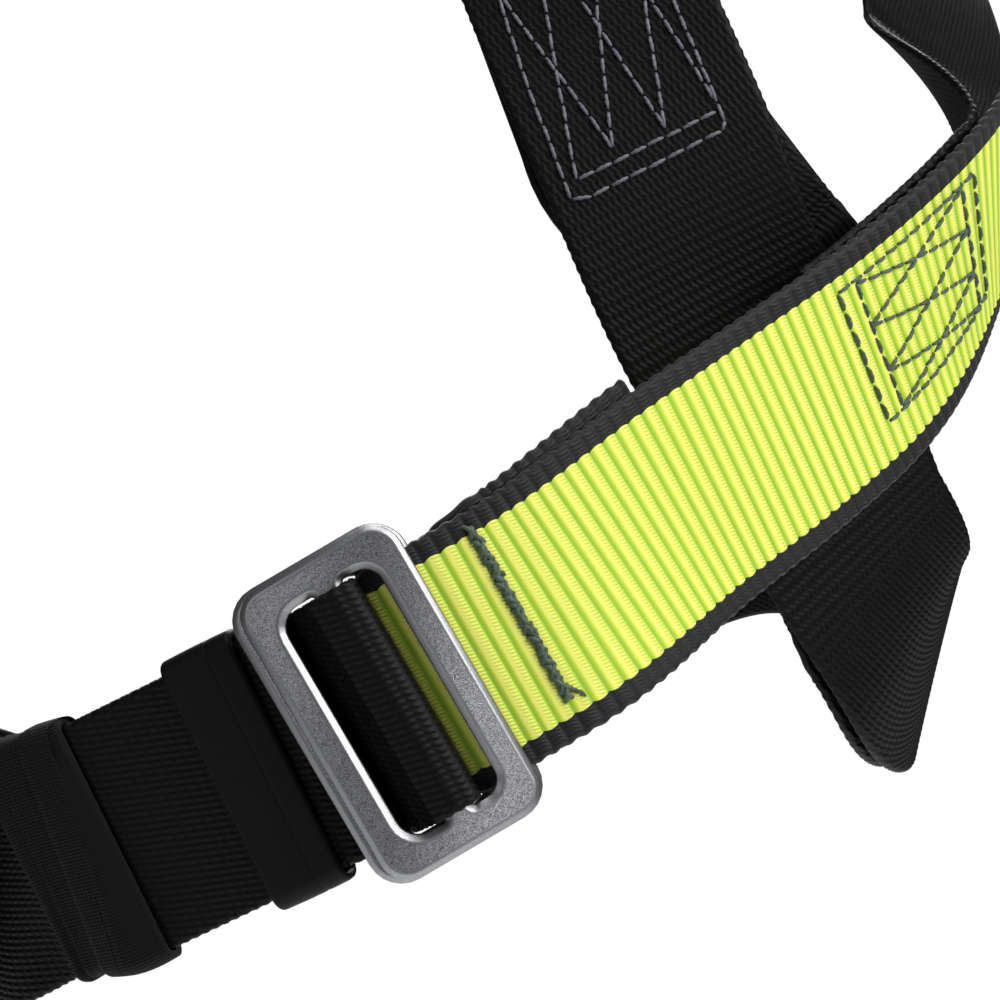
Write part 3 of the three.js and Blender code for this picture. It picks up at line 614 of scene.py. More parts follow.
def webbing(name, strap, weave, look, fine=None):
    """A strap with rounded edges. Its weave is relief over the fine stretch, and the material's elsewhere."""
    low, high = fine or (0, 0)
    high = min(high, strap.length)
    points, texture, corners, totals, base = [], [], [], [], 0
    for start, end, detailed in ((0, low, False), (low, high, True), (high, strap.length, False)):
        if end - start < 1:
            continue
        rings, uv, columns = stretch(strap, weave, start, end, detailed)
        count, around = rings.shape[:2]
        quads = grid_quads(count, around)
        corners.append(quads.ravel() + base)
        totals.append(np.full(len(quads), 4))
        j = np.arange(columns)
        under = np.where((j == 0) | (j == columns - 1), j, around - j)
        cap = np.stack([j[:-1], under[:-1], under[1:], j[1:]], -1)
        ends = [cap] if start == 0 else []
        if end == strap.length:
            ends.append(cap[:, ::-1] + (count - 1) * around)
        for faces in ends:
            for face in faces.tolist():
                face = list(dict.fromkeys(face))
                corners.append(np.array(face) + base)
                totals.append(np.array([len(face)]))
        points.append(rings.reshape(-1, 3))
        texture.append(uv.reshape(-1, 2))
        base += count * around
    return finish_mesh(name, np.concatenate(points), np.concatenate(corners), np.concatenate(totals),
                       np.concatenate(texture), looks=[look])


def band(name, strap, inner, wall, look, shape):
    """A tube round a strap. shape(s, share of the length) says how far its outside stands beyond the wall."""
    lip = wall / 2
    length = strap.length
    s = np.linspace(lip, length - lip, max(12, round(length / 0.35)))
    outside = [(x, wall + shape(x, x / length)) for x in s]
    inside = [(x, 0.02) for x in s[::-4]]
    turns = np.radians(np.linspace(90, -90, 8))[1:-1]
    far = [(length - lip + lip * math.cos(a), lip + outside[-1][1] / wall * lip * math.sin(a)) for a in turns]
    near = [(lip - lip * math.cos(a), lip + outside[0][1] / wall * lip * math.sin(a)) for a in -turns]
    rings = []
    for x, off in outside + far + inside + near:
        half_w, half_t = inner[0] / 2 + off, inner[1] / 2 + off
        radii = [min(1.6 + off, half_t - 0.05)] * 4
        loop = rounded_loop((-half_w, half_w), (-half_t, half_t), radii, 0, 7, 40)
        rings.append(strap.surface(np.full(len(loop), x), loop[:, 0], loop[:, 1]))
    rings = np.array(rings)
    uv_s = np.array([x for x, off in outside + far + inside + near])
    uv_t = np.cumsum(np.concatenate([[0], np.linalg.norm(np.diff(rings[0], axis=0), axis=1)]))
    uv = np.stack(np.meshgrid(uv_s, uv_t, indexing="ij"), -1).reshape(-1, 2)
    return tube(name, rings, [look], uv, closed_path=True)


# ---- Plates: loops of points with rounded or chamfered edges ----

def rounded_loop(x, y, radii, grow=0.0, steps=6, along=1):
    """A rectangle with a radius for each corner, counter-clockwise from the high one, grown all round."""
    places = [
        (x[1], y[1], 1, 1, 0),
        (x[0], y[1], -1, 1, 90),
        (x[0], y[0], -1, -1, 180),
        (x[1], y[0], 1, -1, 270),
    ]
    points = []
    for (px, py, sx, sy, start), radius in zip(places, radii):
        radius = max(radius + grow, 0.05)
        centre = (px + sx * (grow - radius), py + sy * (grow - radius))
        points += arc(centre, radius, start, start + 90, steps)
    points = np.array(points)
    if along > 1:
        following = np.roll(points, -1, 0)
        pieces = []
        for a, b in zip(points, following):
            count = along if np.linalg.norm(b - a) > 5 else 1
            pieces.append(a + (b - a) * np.linspace(0, 1, count, endpoint=False)[:, None])
        points = np.concatenate(pieces)
    return points


def soften(corners, size=0.28, steps=4):
    """An open line with its inner corners rounded."""
    corners = np.array(corners, float)
    line = [corners[0]]
    for before, corner, after in zip(corners[:-2], corners[1:-1], corners[2:]):
        a = corner + unit(before - corner) * size
        b = corner + unit(after - corner) * size
        for k in range(steps + 1):
            t = k / steps
            line.append((1 - t) ** 2 * a + 2 * t * (1 - t) * corner + t**2 * b)
    return np.array(line + [corners[-1]])


def chamfer(inset, drop, thick, flat=0.5):
    """The edge of a plate from its top face to its bottom face, as (inset, height)."""
    top = thick / 2
    return soften([(inset + flat, top), (inset, top), (0, top - drop), (0, drop - top), (inset, -top),
                   (inset + flat, -top)])


def even_odd(point, loop):
    x, y = point
    a, b = loop, np.roll(loop, -1, 0)
    crosses = (a[:, 1] > y) != (b[:, 1] > y)
    with np.errstate(divide="ignore", invalid="ignore"):
        at = a[:, 0] + (y - a[:, 1]) / (b[:, 1] - a[:, 1]) * (b[:, 0] - a[:, 0])
    return (crosses & (at > x)).sum() % 2 == 1


def bar_plate(name, frame, height, outer, holes, outer_edge, hole_edge, looks):
    """A plate with holes, drawn in the frame's u and the direction across, its middle at a height along v."""
    points, corners, totals, kinds = [], [], [], []
    faces_of = {"top": [], "bottom": []}
    base = 0
    for loop, edge, sign in [(outer, outer_edge, -1)] + [(hole, hole_edge, 1) for hole in holes]:
        rings = [rounded_loop(*loop, grow=sign * inset) for inset, z in edge]
        around = len(rings[0])
        points += [np.column_stack([ring, np.full(around, z)]) for ring, (inset, z) in zip(rings, edge)]
        quads = grid_quads(len(rings), around)
        quads = quads[:, ::-1] if sign > 0 else quads
        corners.append((quads + base).ravel())
        totals.append(np.full(len(quads), 4))
        kinds.append(np.ones(len(quads)))
        faces_of["top"].append((base, rings[0]))
        faces_of["bottom"].append((base + (len(rings) - 1) * around, rings[-1]))
        base += len(rings) * around
    for side, loops in faces_of.items():
        index = np.concatenate([start + np.arange(len(loop)) for start, loop in loops])
        flat = np.concatenate([loop for start, loop in loops])
        ends = np.cumsum([0] + [len(loop) for start, loop in loops])
        edges = [(i, i + 1 if i + 1 < b else a) for a, b in zip(ends[:-1], ends[1:]) for i in range(a, b)]
        found = delaunay_2d_cdt([Vector(p) for p in flat], edges, [], 0, 1e-6)
        for face in found[2]:
            middle = flat[[found[3][v][0] for v in face]].mean(0)
            if any(even_odd(middle, loop) for start, loop in loops[1:]):
                continue
            face = [index[found[3][v][0]] for v in face]
            corners.append(np.array(face[::-1] if side == "top" else face))
            totals.append(np.array([3]))
            kinds.append(np.zeros(1))
    local = np.concatenate(points)
    across = np.cross(frame.v, frame.u)
    rise = (local[:, 2:] + height) * frame.v
    world = frame.centre + local[:, :1] * frame.u + local[:, 1:2] * across + rise
    return finish_mesh(name, world, np.concatenate(corners), np.concatenate(totals),
                       kinds=np.concatenate(kinds), looks=looks)


def pillow(name, outline, centre, front, back, looks, rings=40):
    """A closed form over a star-shaped outline in x and z. front and back give y from x, z and reach."""
    reach = np.sin(np.linspace(0, np.pi / 2, rings + 1)[1:])[:, None]
    x, z = outline[:, 0] * reach, outline[:, 1] * reach
    reach = np.broadcast_to(reach, x.shape)
    near = np.stack([x, front(x, z, reach), z], -1)
    far = np.stack([x, back(x, z, reach), z], -1)[::-1][1:]
    stack = np.concatenate([near, far]) + np.array([centre[0], 0, centre[1]])
    return tube(name, stack, looks)


# ---- Stitches ----

class Seams:
    """Threads of one strap: every stitch is a short twisted tube that dips in at both ends."""

    def __init__(self, strap, side=1, thread=0.72, lift=0.22, seed=1):
        self.strap, self.thread, self.side, self.lift = strap, thread, side, lift
        self.random = random.Random(seed)
        self.tubes = []

    def stitch(self, start, end, bow=0.0, high=0.0):
        count, around = 13, 10
        x = np.linspace(0, 1, count)
        start, end = np.array(start, float), np.array(end, float)
        length = np.linalg.norm(end - start)
        aside = np.array([start[1] - end[1], end[0] - start[0]]) / max(length, 1e-6)
        line = start + (end - start) * x[:, None] + aside * (bow * np.sin(np.pi * x))[:, None]
        rise = np.sin(np.pi * x).clip(0, 1) ** 0.45
        height = self.strap.thick / 2 + self.lift + high + (rise - 0.75) * self.thread * 0.9
        path = self.strap.surface(line[:, 0], line[:, 1], self.side * height)
        normal = self.strap.at(line[:, 0])[2]
        padded = np.vstack([path[:1], path, path[-1:]])
        tangent = unit(padded[2:] - padded[:-2])
        beside = unit(np.cross(tangent, normal))
        up = np.cross(beside, tangent)
        angle = np.linspace(0, 2 * np.pi, around, endpoint=False)
        twist = 1 + 0.16 * np.cos(2 * angle - 2 * np.pi * x[:, None] * length / 1.25)
        radius = self.thread / 2 * (0.62 + 0.38 * rise[:, None]) * twist
        ring = beside[:, None] * (radius * np.cos(angle))[..., None]
        self.tubes.append(path[:, None] + ring + up[:, None] * (radius * np.sin(angle))[..., None])

    def run(self, *points, length=3.1, gap=0.6, wobble=0.12):
        """Stitches of about one length along a line of (s, t) points."""
        for start, end in zip(points[:-1], points[1:]):
            start, end = np.array(start, float), np.array(end, float)
            count = max(1, round(np.linalg.norm(end - start) / (length + gap)))
            step = (end - start) / count
            for k in range(count):
                jitter = [self.random.uniform(-wobble, wobble) for _ in range(4)]
                a = start + step * (k + gap / (length + gap) / 2) + jitter[:2]
                b = start + step * (k + 1 - gap / (length + gap) / 2) + jitter[2:]
                self.stitch(a, b)

    def crossed_box(self, s0, s1, t0, t1, turns=2):
        """A box of stitches with two zigzags that cross inside it."""
        self.run((s0, t0), (s1, t0), (s1, t1), (s0, t1), (s0, t0))
        for first, second in ((s0, s1), (s1, s0)):
            steps = [(first if k % 2 == 0 else second, t0 + (t1 - t0) * k / turns) for k in range(turns + 1)]
            self.run(*steps)

    def bar_tack(self, s, t0, t1, width=1.7, pitch=0.8):
        """Two lines of slanting stitches that lie over each other across the strap."""
        count = round(abs(t1 - t0) / pitch)
        for k in range(count):
            t = t0 + (t1 - t0) * k / count
            shift, reach = self.random.uniform(-0.25, 0.25), self.random.uniform(1.9, 3.0)
            side = width / 2 if k % 2 else -width / 2
            lean = self.random.uniform(0.25, 0.8) * side
            self.stitch((s + side * 0.5 + shift, t), (s - lean + shift, t + math.copysign(reach, t1 - t0)),
                        high=0.12 * (k % 3))

    def make(self, name, look):
        rings = np.array(self.tubes)
        tubes, count, around = rings.shape[:3]
        quads = grid_quads(count, around)
        ends = np.array([np.arange(around)[::-1], np.arange(around) + (count - 1) * around])
        shift = np.arange(tubes)[:, None, None] * count * around
        corners = np.concatenate([(quads[None] + shift).ravel(), (ends[None] + shift).ravel()])
        totals = np.concatenate([np.full(tubes * len(quads), 4), np.full(tubes * 2, around)])
        return finish_mesh(name, rings.reshape(-1, 3), corners, totals, looks=[look])


# ---- Materials ----

class Look:
    """A Principled material and short ways to add nodes to it."""

    def __init__(self, name, **values):
        self.material = bpy.data.materials.new(name)
        self.material.use_nodes = True
        self.tree = self.material.node_tree
        self.shader = self.tree.nodes["Principled BSDF"]
        for key, value in values.items():
            self.shader.inputs[key.replace("_", " ")].default_value = value

    def node(self, kind, **settings):
        node = self.tree.nodes.new(kind)
        for key, value in settings.items():
            setattr(node, key, value)
        return node

    def put(self, socket, value):
        if isinstance(value, bpy.types.NodeSocket):
            self.tree.links.new(value, socket)
        else:
            socket.default_value = value

    def times(self, a, b):
        return self.math("MULTIPLY", a, b)

    def turned(self, turns):
        """A wave from 0 to 1 with one crest at each whole turn."""
        angle = self.times(turns, 2 * math.pi)
        return self.math("MULTIPLY_ADD", self.math("COSINE", angle), 0.5, 0.5)

    def fibres(self, s, t, along):
        """Fine streaks that run along the strap."""
        return self.noise(1.0, 2, 0.6, self.join_uv(self.times(s, along), self.times(t, 9.0)))

    def math(self, operation, a, b=0.0, c=0.0):
        node = self.node("ShaderNodeMath", operation=operation)
        for socket, value in zip(node.inputs, (a, b, c)):
            self.put(socket, value)
        return node.outputs[0]

    def uv(self):
        node = self.node("ShaderNodeUVMap", uv_map="weave")
        split = self.node("ShaderNodeSeparateXYZ")
        self.put(split.inputs[0], node.outputs[0])
        return split.outputs[0], split.outputs[1]

    def join_uv(self, x, y, z=0.0):
        node = self.node("ShaderNodeCombineXYZ")
        for socket, value in zip(node.inputs, (x, y, z)):
            self.put(socket, value)
        return node.outputs[0]

    def noise(self, scale, detail=3.0, rough=0.55, vector=None):
        node = self.node("ShaderNodeTexNoise")
        node.inputs["Scale"].default_value = scale
        node.inputs["Detail"].default_value = detail
        node.inputs["Roughness"].default_value = rough
        if vector is None:
            vector = self.node("ShaderNodeTexCoord").outputs["Object"]
        self.put(node.inputs["Vector"], vector)
        return node.outputs["Fac"]

    def ramp(self, factor, *stops):
        node = self.node("ShaderNodeValToRGB")
        ramp = node.color_ramp
        while len(ramp.elements) < len(stops):
            ramp.elements.new(0.5)
        for element, (place, colour) in zip(ramp.elements, stops):
            element.position = place
            element.color = (*colour, 1) if len(colour) == 3 else colour
        self.put(node.inputs[0], factor)
        return node.outputs[0]

    def mix(self, factor, a, b, blend="MIX"):
        node = self.node("ShaderNodeMix", data_type="RGBA", blend_type=blend)
        self.put(node.inputs[0], factor)
        self.put(node.inputs[6], (*a, 1) if isinstance(a, tuple) else a)
        self.put(node.inputs[7], (*b, 1) if isinstance(b, tuple) else b)
        return node.outputs[2]

    def scale(self, factor, low, high):
        node = self.node("ShaderNodeMapRange")
        self.put(node.inputs[0], factor)
        node.inputs[3].default_value = low
        node.inputs[4].default_value = high
        return node.outputs[0]

    def colour(self, value):
        self.put(self.shader.inputs["Base Color"], value)

    def roughness(self, value):
        self.put(self.shader.inputs["Roughness"], value)

    def bump(self, height, distance, strength=1.0):
        node = self.node("ShaderNodeBump")
        node.inputs["Strength"].default_value = strength
        node.inputs["Distance"].default_value = distance
        self.put(node.inputs["Height"], height)
        if self.shader.inputs["Normal"].is_linked:
            self.put(node.inputs["Normal"], self.shader.inputs["Normal"].links[0].from_socket)
        self.put(self.shader.inputs["Normal"], node.outputs[0])


def wave(look, value, period, lead=0.0):
    """A cosine of a length in millimetres, from 0 to 1."""
    turn = look.math("MULTIPLY_ADD", value, 2 * math.pi / period, lead)
    return look.math("MULTIPLY_ADD", look.math("COSINE", turn), 0.5, 0.5)


def black_webbing_look(name, crest_highlight, valley):
    look = Look(name, Specular_IOR_Level=0.13)
    s, t = look.uv()
    row = look.math("DIVIDE", s, ROW_PITCH)
    lean = look.math("SUBTRACT", row, look.math("ROUND", row))
    grain = look.math("MULTIPLY_ADD", lean, 0.5, look.math("DIVIDE", t, GRAIN_PITCH))
    side = look.math("COSINE", look.times(grain, 2 * math.pi))
    line = look.math("COSINE", look.times(row, math.pi))
    bump = look.math("MULTIPLY_ADD", look.times(side, line), 0.5, 0.5)
    cloud = look.noise(60, 4)
    # Each crest of the grain gets the lighter colour: a painted highlight on the grain over the webbing's
    # near-black.
    tone = look.mix(look.math("POWER", bump, 2.0), valley, crest_highlight)
    look.colour(look.mix(look.scale(cloud, 0.0, 0.55), tone, valley))
    fibres = look.fibres(s, t, 1.2)
    look.roughness(look.scale(fibres, 0.34, 0.62))
    look.bump(bump, 0.00010)
    look.bump(fibres, 0.00006, 0.8)
    return look.material


def hi_vis_look():
    look = Look("hi_vis_webbing", Sheen_Weight=0.1, Sheen_Roughness=0.5, Specular_IOR_Level=0.3)
    s, t = look.uv()
    turns = look.math("DIVIDE", s, RIB_PITCH)
    phase = look.math("SUBTRACT", turns, look.math("FLOOR", turns))
    rib = look.math("SINE", look.times(phase, math.pi))
    lean = look.math("MULTIPLY_ADD", phase, 0.9, look.math("DIVIDE", t, YARN_PITCH))
    yarn = look.turned(lean)
    flank = look.ramp(phase, (0.40, (0, 0, 0)), (0.62, (1, 1, 1)), (0.78, (1, 1, 1)), (0.92, (0, 0, 0)))
    # This ramp paints light across each rib: a pale painted highlight on the crest, a darker yellow-green
    # lower flank and a dark green painted shade in the valley.
    lime_with_painted_rib_light = look.ramp(
        phase,
        (0.0, (0.20, 0.38, 0.030)),
        (0.14, (0.42, 0.58, 0.030)),
        (0.32, (0.78, 0.82, 0.14)),
        (0.5, (0.86, 0.84, 0.18)),
        (0.74, (0.68, 0.76, 0.07)),
        (0.90, (0.34, 0.52, 0.030)),
        (1.0, (0.20, 0.38, 0.030)),
    )
    # On the rib's flank: painted shade between the slanting yarns, then a pale painted highlight on the yarns
    # themselves.
    shade = look.times(flank, look.math("SUBTRACT", 1.0, yarn))
    lime_with_painted_rib_light = look.mix(look.times(shade, 0.55), lime_with_painted_rib_light, (0.42, 0.45, 0.015))
    lime_with_painted_rib_light = look.mix(look.times(look.times(flank, yarn), 0.35), lime_with_painted_rib_light, (0.98, 0.93, 0.42))
    patches = look.noise(22, 2)
    lime_with_painted_rib_light = look.mix(look.scale(patches, -0.15, 0.38), lime_with_painted_rib_light, (0.42, 0.62, 0.03))
    edge = look.math("ABSOLUTE", t)
    wander = look.math("MULTIPLY_ADD", rib, 0.55, WEB_WIDTH / 2 - BORDER - 0.3)
    border = look.math("GREATER_THAN", edge, wander)
    dark_lean = look.math("MULTIPLY_ADD", phase, 0.7, look.math("DIVIDE", t, 0.8))
    dark_yarn = look.turned(dark_lean)
    # The border's yarns are a lighter black where they cross a rib's crest: a painted highlight.
    black = look.mix(look.times(dark_yarn, rib), (0.0006, 0.0006, 0.0006), (0.014, 0.013, 0.0125))
    look.colour(look.mix(border, lime_with_painted_rib_light, black))
    fibres = look.fibres(s, t, 2.0)
    look.roughness(look.scale(fibres, 0.5, 0.8))
    look.bump(look.times(yarn, flank), 0.00012)
    look.bump(fibres, 0.00004, 0.7)
    return look.material


def thread_look(name, light, dark):
    look = Look(name, Sheen_Weight=0.3, Sheen_Roughness=0.3, Specular_IOR_Level=0.4)
    look.colour(look.mix(look.noise(900, 2), dark, light))
    look.roughness(look.scale(look.noise(2500, 2), 0.35, 0.7))
    look.bump(look.noise(5000, 2), 0.00008)
    return look.material


def zinc_look(name, light, dark, grain=1.0, roughness=(0.34, 0.55), crown=0.017):
    look = Look(name, Metallic=1.0)
    speckle = look.noise(5200, 4, 0.8)
    cloud = look.noise(60, 4)
    tone = look.mix(look.ramp(speckle, (0.38, (0, 0, 0)), (0.62, (1, 1, 1))), dark, light)
    look.colour(look.mix(look.scale(cloud, 0, 0.3), tone, dark))
    look.roughness(look.scale(speckle, *roughness))
    look.bump(look.noise(4300, 3, 0.7), 0.00005 * grain, 0.9)
    look.bump(look.noise(260, 2), 0.0001, 0.25)
    split = look.node("ShaderNodeSeparateXYZ")
    look.put(split.inputs[0], look.node("ShaderNodeTexCoord").outputs["Generated"])
    beside = look.math("SUBTRACT", split.outputs[0], 0.5)
    look.bump(look.times(look.times(beside, beside), -1.0), crown)
    return look.material


def rubber_look():
    look = Look("keeper_rubber", Specular_IOR_Level=0.16)
    look.colour(look.mix(look.noise(45, 4), (0.0014, 0.0014, 0.0014), (0.0026, 0.0025, 0.0025)))
    look.roughness(look.scale(look.noise(300, 3), 0.45, 0.62))
    look.bump(look.noise(1500, 2), 0.00003, 0.5)
    look.bump(look.noise(90, 2), 0.0004, 0.2)
    return look.material


def elastic_look():
    look = Look("elastic", Sheen_Weight=0.05, Sheen_Roughness=0.5, Specular_IOR_Level=0.12)
    s, t = look.uv()
    ribs = wave(look, t, 0.62)
    rows = wave(look, s, 0.9)
    fuzz = look.noise(1800, 4, 0.7)
    tone = look.mix(look.times(ribs, 0.7), (0.0012, 0.0012, 0.0012), (0.0060, 0.0060, 0.0060))
    look.colour(look.mix(look.scale(fuzz, 0, 0.6), tone, (0.009, 0.009, 0.009)))
    look.roughness(look.scale(fuzz, 0.6, 0.95))
    look.bump(ribs, 0.0002, 0.8)
    look.bump(rows, 0.0001, 0.5)
    look.bump(fuzz, 0.0002, 0.8)
    return look.material


def cloth_look(name, light, dark, pitch=0.7):
    look = Look(name, Sheen_Weight=0.2, Sheen_Roughness=0.4, Specular_IOR_Level=0.25)
    position = look.node("ShaderNodeTexCoord").outputs["Object"]
    split = look.node("ShaderNodeSeparateXYZ")
    look.put(split.inputs[0], position)
    warp = wave(look, look.times(split.outputs[0], 1000.0), pitch)
    weft = wave(look, look.times(split.outputs[2], 1000.0), pitch)
    weave = look.times(warp, weft)
    tone = look.math("MULTIPLY_ADD", weave, 0.6, look.scale(look.noise(50, 3), 0, 0.3))
    look.colour(look.mix(tone, dark, light))
    look.roughness(look.scale(look.noise(400, 3), 0.6, 0.85))
    look.bump(weave, 0.00025, 0.8)
    look.bump(look.noise(2500, 3), 0.00005, 0.6)
    return look.material


def plastic_look():
    look = Look("moulded_plastic", Specular_IOR_Level=0.45)
    grain = look.noise(1700, 3, 0.65)
    look.colour(look.mix(look.noise(30, 3), (0.008, 0.008, 0.009), (0.014, 0.014, 0.015)))
    look.roughness(look.scale(grain, 0.36, 0.55))
    look.bump(grain, 0.00008, 0.7)
    look.bump(look.noise(120, 2), 0.0002, 0.15)
    return look.material


# The first black webbing colour is a painted highlight on the grain's crests; the second is the webbing's own
# near-black.
BLACK = black_webbing_look("black_webbing", (0.0070, 0.0066, 0.0063), (0.0006, 0.0006, 0.0006))
HI_VIS = hi_vis_look()
ZINC = zinc_look("zinc_cast", (0.74, 0.745, 0.76), (0.09, 0.09, 0.094), roughness=(0.28, 0.46), crown=0.030)
BRIGHT_ZINC = zinc_look("zinc_edge", (0.44, 0.445, 0.46), (0.26, 0.26, 0.27), 0.6, (0.34, 0.48))
STEEL = zinc_look("forged_steel", (0.60, 0.61, 0.62), (0.40, 0.40, 0.41), 0.5, (0.26, 0.42))
RUBBER = rubber_look()
ELASTIC = elastic_look()
POUCH = cloth_look("pouch_cloth", (0.022, 0.022, 0.024), (0.005, 0.005, 0.005))
PAD = cloth_look("pad_cloth", (0.026, 0.026, 0.028), (0.004, 0.004, 0.004), 1.5)
PLASTIC = plastic_look()
GREEN_THREAD = thread_look("green_thread", (0.105, 0.150, 0.105), (0.012, 0.026, 0.014))
GREY_THREAD = thread_look("grey_thread", (0.20, 0.20, 0.24), (0.04, 0.04, 0.052))
BLACK_THREAD = thread_look("black_thread", (0.035, 0.035, 0.037), (0.006, 0.006, 0.006))


# ---- Pieces ----

def place(piece, slot, body="root", *nodes):
    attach(piece, body)
    if nodes:
        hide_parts(*nodes)
    return piece


def both(piece, stem, slot, body, *nodes):
    """Places a piece made for the left side, named stem_left, and its twin on the right."""
    other = twin(piece, f"{stem}_right")
    for side, one in (("left", piece), ("right", other)):
        place(one, slot, body.format(side), *(f"{node}_{side}" for node in nodes))


def metres(point):
    return tuple(float(x) for x in np.asarray(point) * MM)


def black_strap(name, strap, fine=None):
    return webbing(name, strap, BLACK_WEAVE, BLACK, fine=fine)


HIP = Strap(HIP_STRAP, WEB_WIDTH, HI_VIS_THICK)
SEAT = Strap(SEAT_STRAP)
LEG = Strap(LEG_WEBBING)
TORSO = Strap(TORSO_STRAP)
CHEST_LEFT = Strap(CHEST_WEBBING)
CHEST_RIGHT = Strap(CHEST_RING_SIDE, WEB_WIDTH, HI_VIS_THICK)
SHOULDER_RIGHT = Strap(shoulder_route(DORSAL_OUTER_Y))
SHOULDER_LEFT = Strap(mirror(shoulder_route(DORSAL_INNER_Y)))
LANYARD = Strap(LANYARD_LOOP, LANYARD_LOOP_WIDTH, LANYARD_LOOP_THICK)

# Hip straps
both(webbing("hip_webbing_left", HIP, HI_VIS_WEAVE, HI_VIS, fine=(0, 999)), "hip_webbing", "hi_vis_webbing",
     "root", "hip_strap")

# BLEND_FROM and BLEND_TO are put into metres below, and nothing uses the result.
# Both are points of the buckle's frame: how far along, and how far out from the plate.
BLEND_FROM = (-14, -10.5)
BLEND_TO = (-6, -4.5)

# Leg straps: one length of webbing from the seat strap, through the keeper, over the plate's bar and back
leg_left = black_strap("leg_webbing_left", LEG, fine=(LEG.length - 232, 999))
leg_right = twin(leg_left, "leg_webbing_right")
for side, piece, buckle in (("left", leg_left, LEG_FRAME), ("right", leg_right, LEG_FRAME.mirrored())):
    metres(buckle.point(*BLEND_FROM))
    metres(buckle.point(*BLEND_TO))
    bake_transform(piece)
    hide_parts(*(f"{node}_{side}" for node in ("leg_strap", "leg_tail", "leg_bar_loop")))

# Torso, seat and shoulder straps
both(black_strap("torso_webbing_left", TORSO, fine=(TORSO.length - 125, 999)),
     "torso_webbing", "black_webbing", "root", "torso_strap")
place(black_strap("seat_webbing", SEAT, fine=(30, 238)), "black_webbing", "root", "seat_strap")
place(black_strap("shoulder_webbing_right", SHOULDER_RIGHT, fine=(0, 90)),
      "black_webbing", "root", "shoulder_strap_right")
place(black_strap("shoulder_webbing_left", SHOULDER_LEFT), "black_webbing", "root", "shoulder_strap_left")
both(black_strap("lanyard_webbing_left", LANYARD), "lanyard_webbing", "black_webbing", "root", "lanyard_loop")

# Chest strap
chest_left = black_strap("chest_webbing_left", CHEST_LEFT)
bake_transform(chest_left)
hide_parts("chest_strap_left", "chest_tail", "chest_bar_loop")
place(black_strap("chest_webbing_right", CHEST_RIGHT), "black_webbing", "root", "chest_strap_right")

# Buckles and adjusters
OUTER_EDGE = chamfer(0.95, 0.70, PLATE_THICK)
HOLE_EDGE = chamfer(1.30, 0.90, PLATE_THICK)
BAR_CORNER, SLOT_CORNER, NARROW_SLOT_CORNER = 0.8, 4.2, 3.5
HALF_WINDOW = (-WINDOW_LONG / 2, WINDOW_LONG / 2)


def plate_outline(low, high, long, corner):
    return (low, high), (-long / 2, long / 2), [corner] * 4


def slot_hole(low, high, low_corner, high_corner):
    return (low, high), HALF_WINDOW, [high_corner, low_corner, low_corner, high_corner]


PLATE_OUTER = plate_outline(-PLATE_SHORT / 2, PLATE_SHORT / 2, PLATE_LONG, PLATE_CORNER)
PLATE_SLOTS = [
    slot_hole(-WINDOW_SHORT / 2, BAR_LOW, SLOT_CORNER, BAR_CORNER),
    slot_hole(BAR_HIGH, WINDOW_SHORT / 2, BAR_CORNER, NARROW_SLOT_CORNER),
]
RING_OUTER = plate_outline(RING_SHIFT - RING_SHORT / 2, RING_SHIFT + RING_SHORT / 2, RING_LONG, RING_CORNER)
RING_SLOT = [slot_hole(RING_SHIFT - RING_SHORT / 2 + RING_FAR_BAR, RING_INNER, SLOT_CORNER, SLOT_CORNER)]
ADJUSTER_OUTER = plate_outline(-HALF_ADJUSTER, HALF_ADJUSTER, ADJUSTER_LONG, ADJUSTER_CORNER)
ADJUSTER_SLOTS = [
    slot_hole(-HALF_ADJUSTER + ADJUSTER_BAR, ADJUSTER_BAR_LOW, SLOT_CORNER, BAR_CORNER),
    slot_hole(ADJUSTER_BAR_HIGH, ADJUSTER_TOP_SLOT, BAR_CORNER, SLOT_CORNER),
]
METAL = [ZINC, BRIGHT_ZINC]
RING_HEIGHT = (RING_TOP + RING_BOTTOM) / 2


def metal(name, frame, height, outer, slots):
    return bar_plate(name, frame, height, outer, slots, OUTER_EDGE, HOLE_EDGE, METAL)


def plate(name, frame):
    return metal(name, frame, 0, PLATE_OUTER, PLATE_SLOTS)


def ring(name, frame):
    return metal(name, frame, RING_HEIGHT, RING_OUTER, RING_SLOT)


both(plate("buckle_plate_left", LEG_FRAME), "buckle_plate", "zinc", "leg_buckle_{}", "leg_plate")
both(ring("buckle_ring_left", LEG_FRAME), "buckle_ring", "zinc", "root", "leg_ring")
place(plate("chest_buckle_plate", CHEST_FRAME), "zinc", "chest_buckle", "chest_plate")
place(ring("chest_buckle_ring", CHEST_FRAME), "zinc", "root", "chest_ring")
both(metal("adjuster_frame_left", ADJUSTER_FRAME, 0, ADJUSTER_OUTER, ADJUSTER_SLOTS),
     "adjuster_frame", "zinc", "root", "adjuster")


# Keepers, with a fine mould line across, and the elastic sleeves
def keeper_shape(s, share):
    crown = 0.12 * math.sin(math.pi * share)
    return crown - 0.16 * math.exp(-((share - 0.34) / 0.018) ** 2)


def sleeve_shape(s, share):
    """A knitted hem at the buckle's end, a groove, and the gathered sleeve behind it."""
    hem = 0.9 * min(1, max(0, (12 - s) / 1.5)) ** 0.5 * (1 - 0.35 * ((s - 5.5) / 6.5) ** 2)
    gather = 0.5 * min(1, max(0, (s - 14.5) / 4)) + (0.22 * math.sin(s * 1.35) if s > 16 else 0)
    return hem + gather - 0.2


def keeper(name, route, inner):
    return band(name, Strap(route), inner, KEEPER_WALL, RUBBER, keeper_shape)


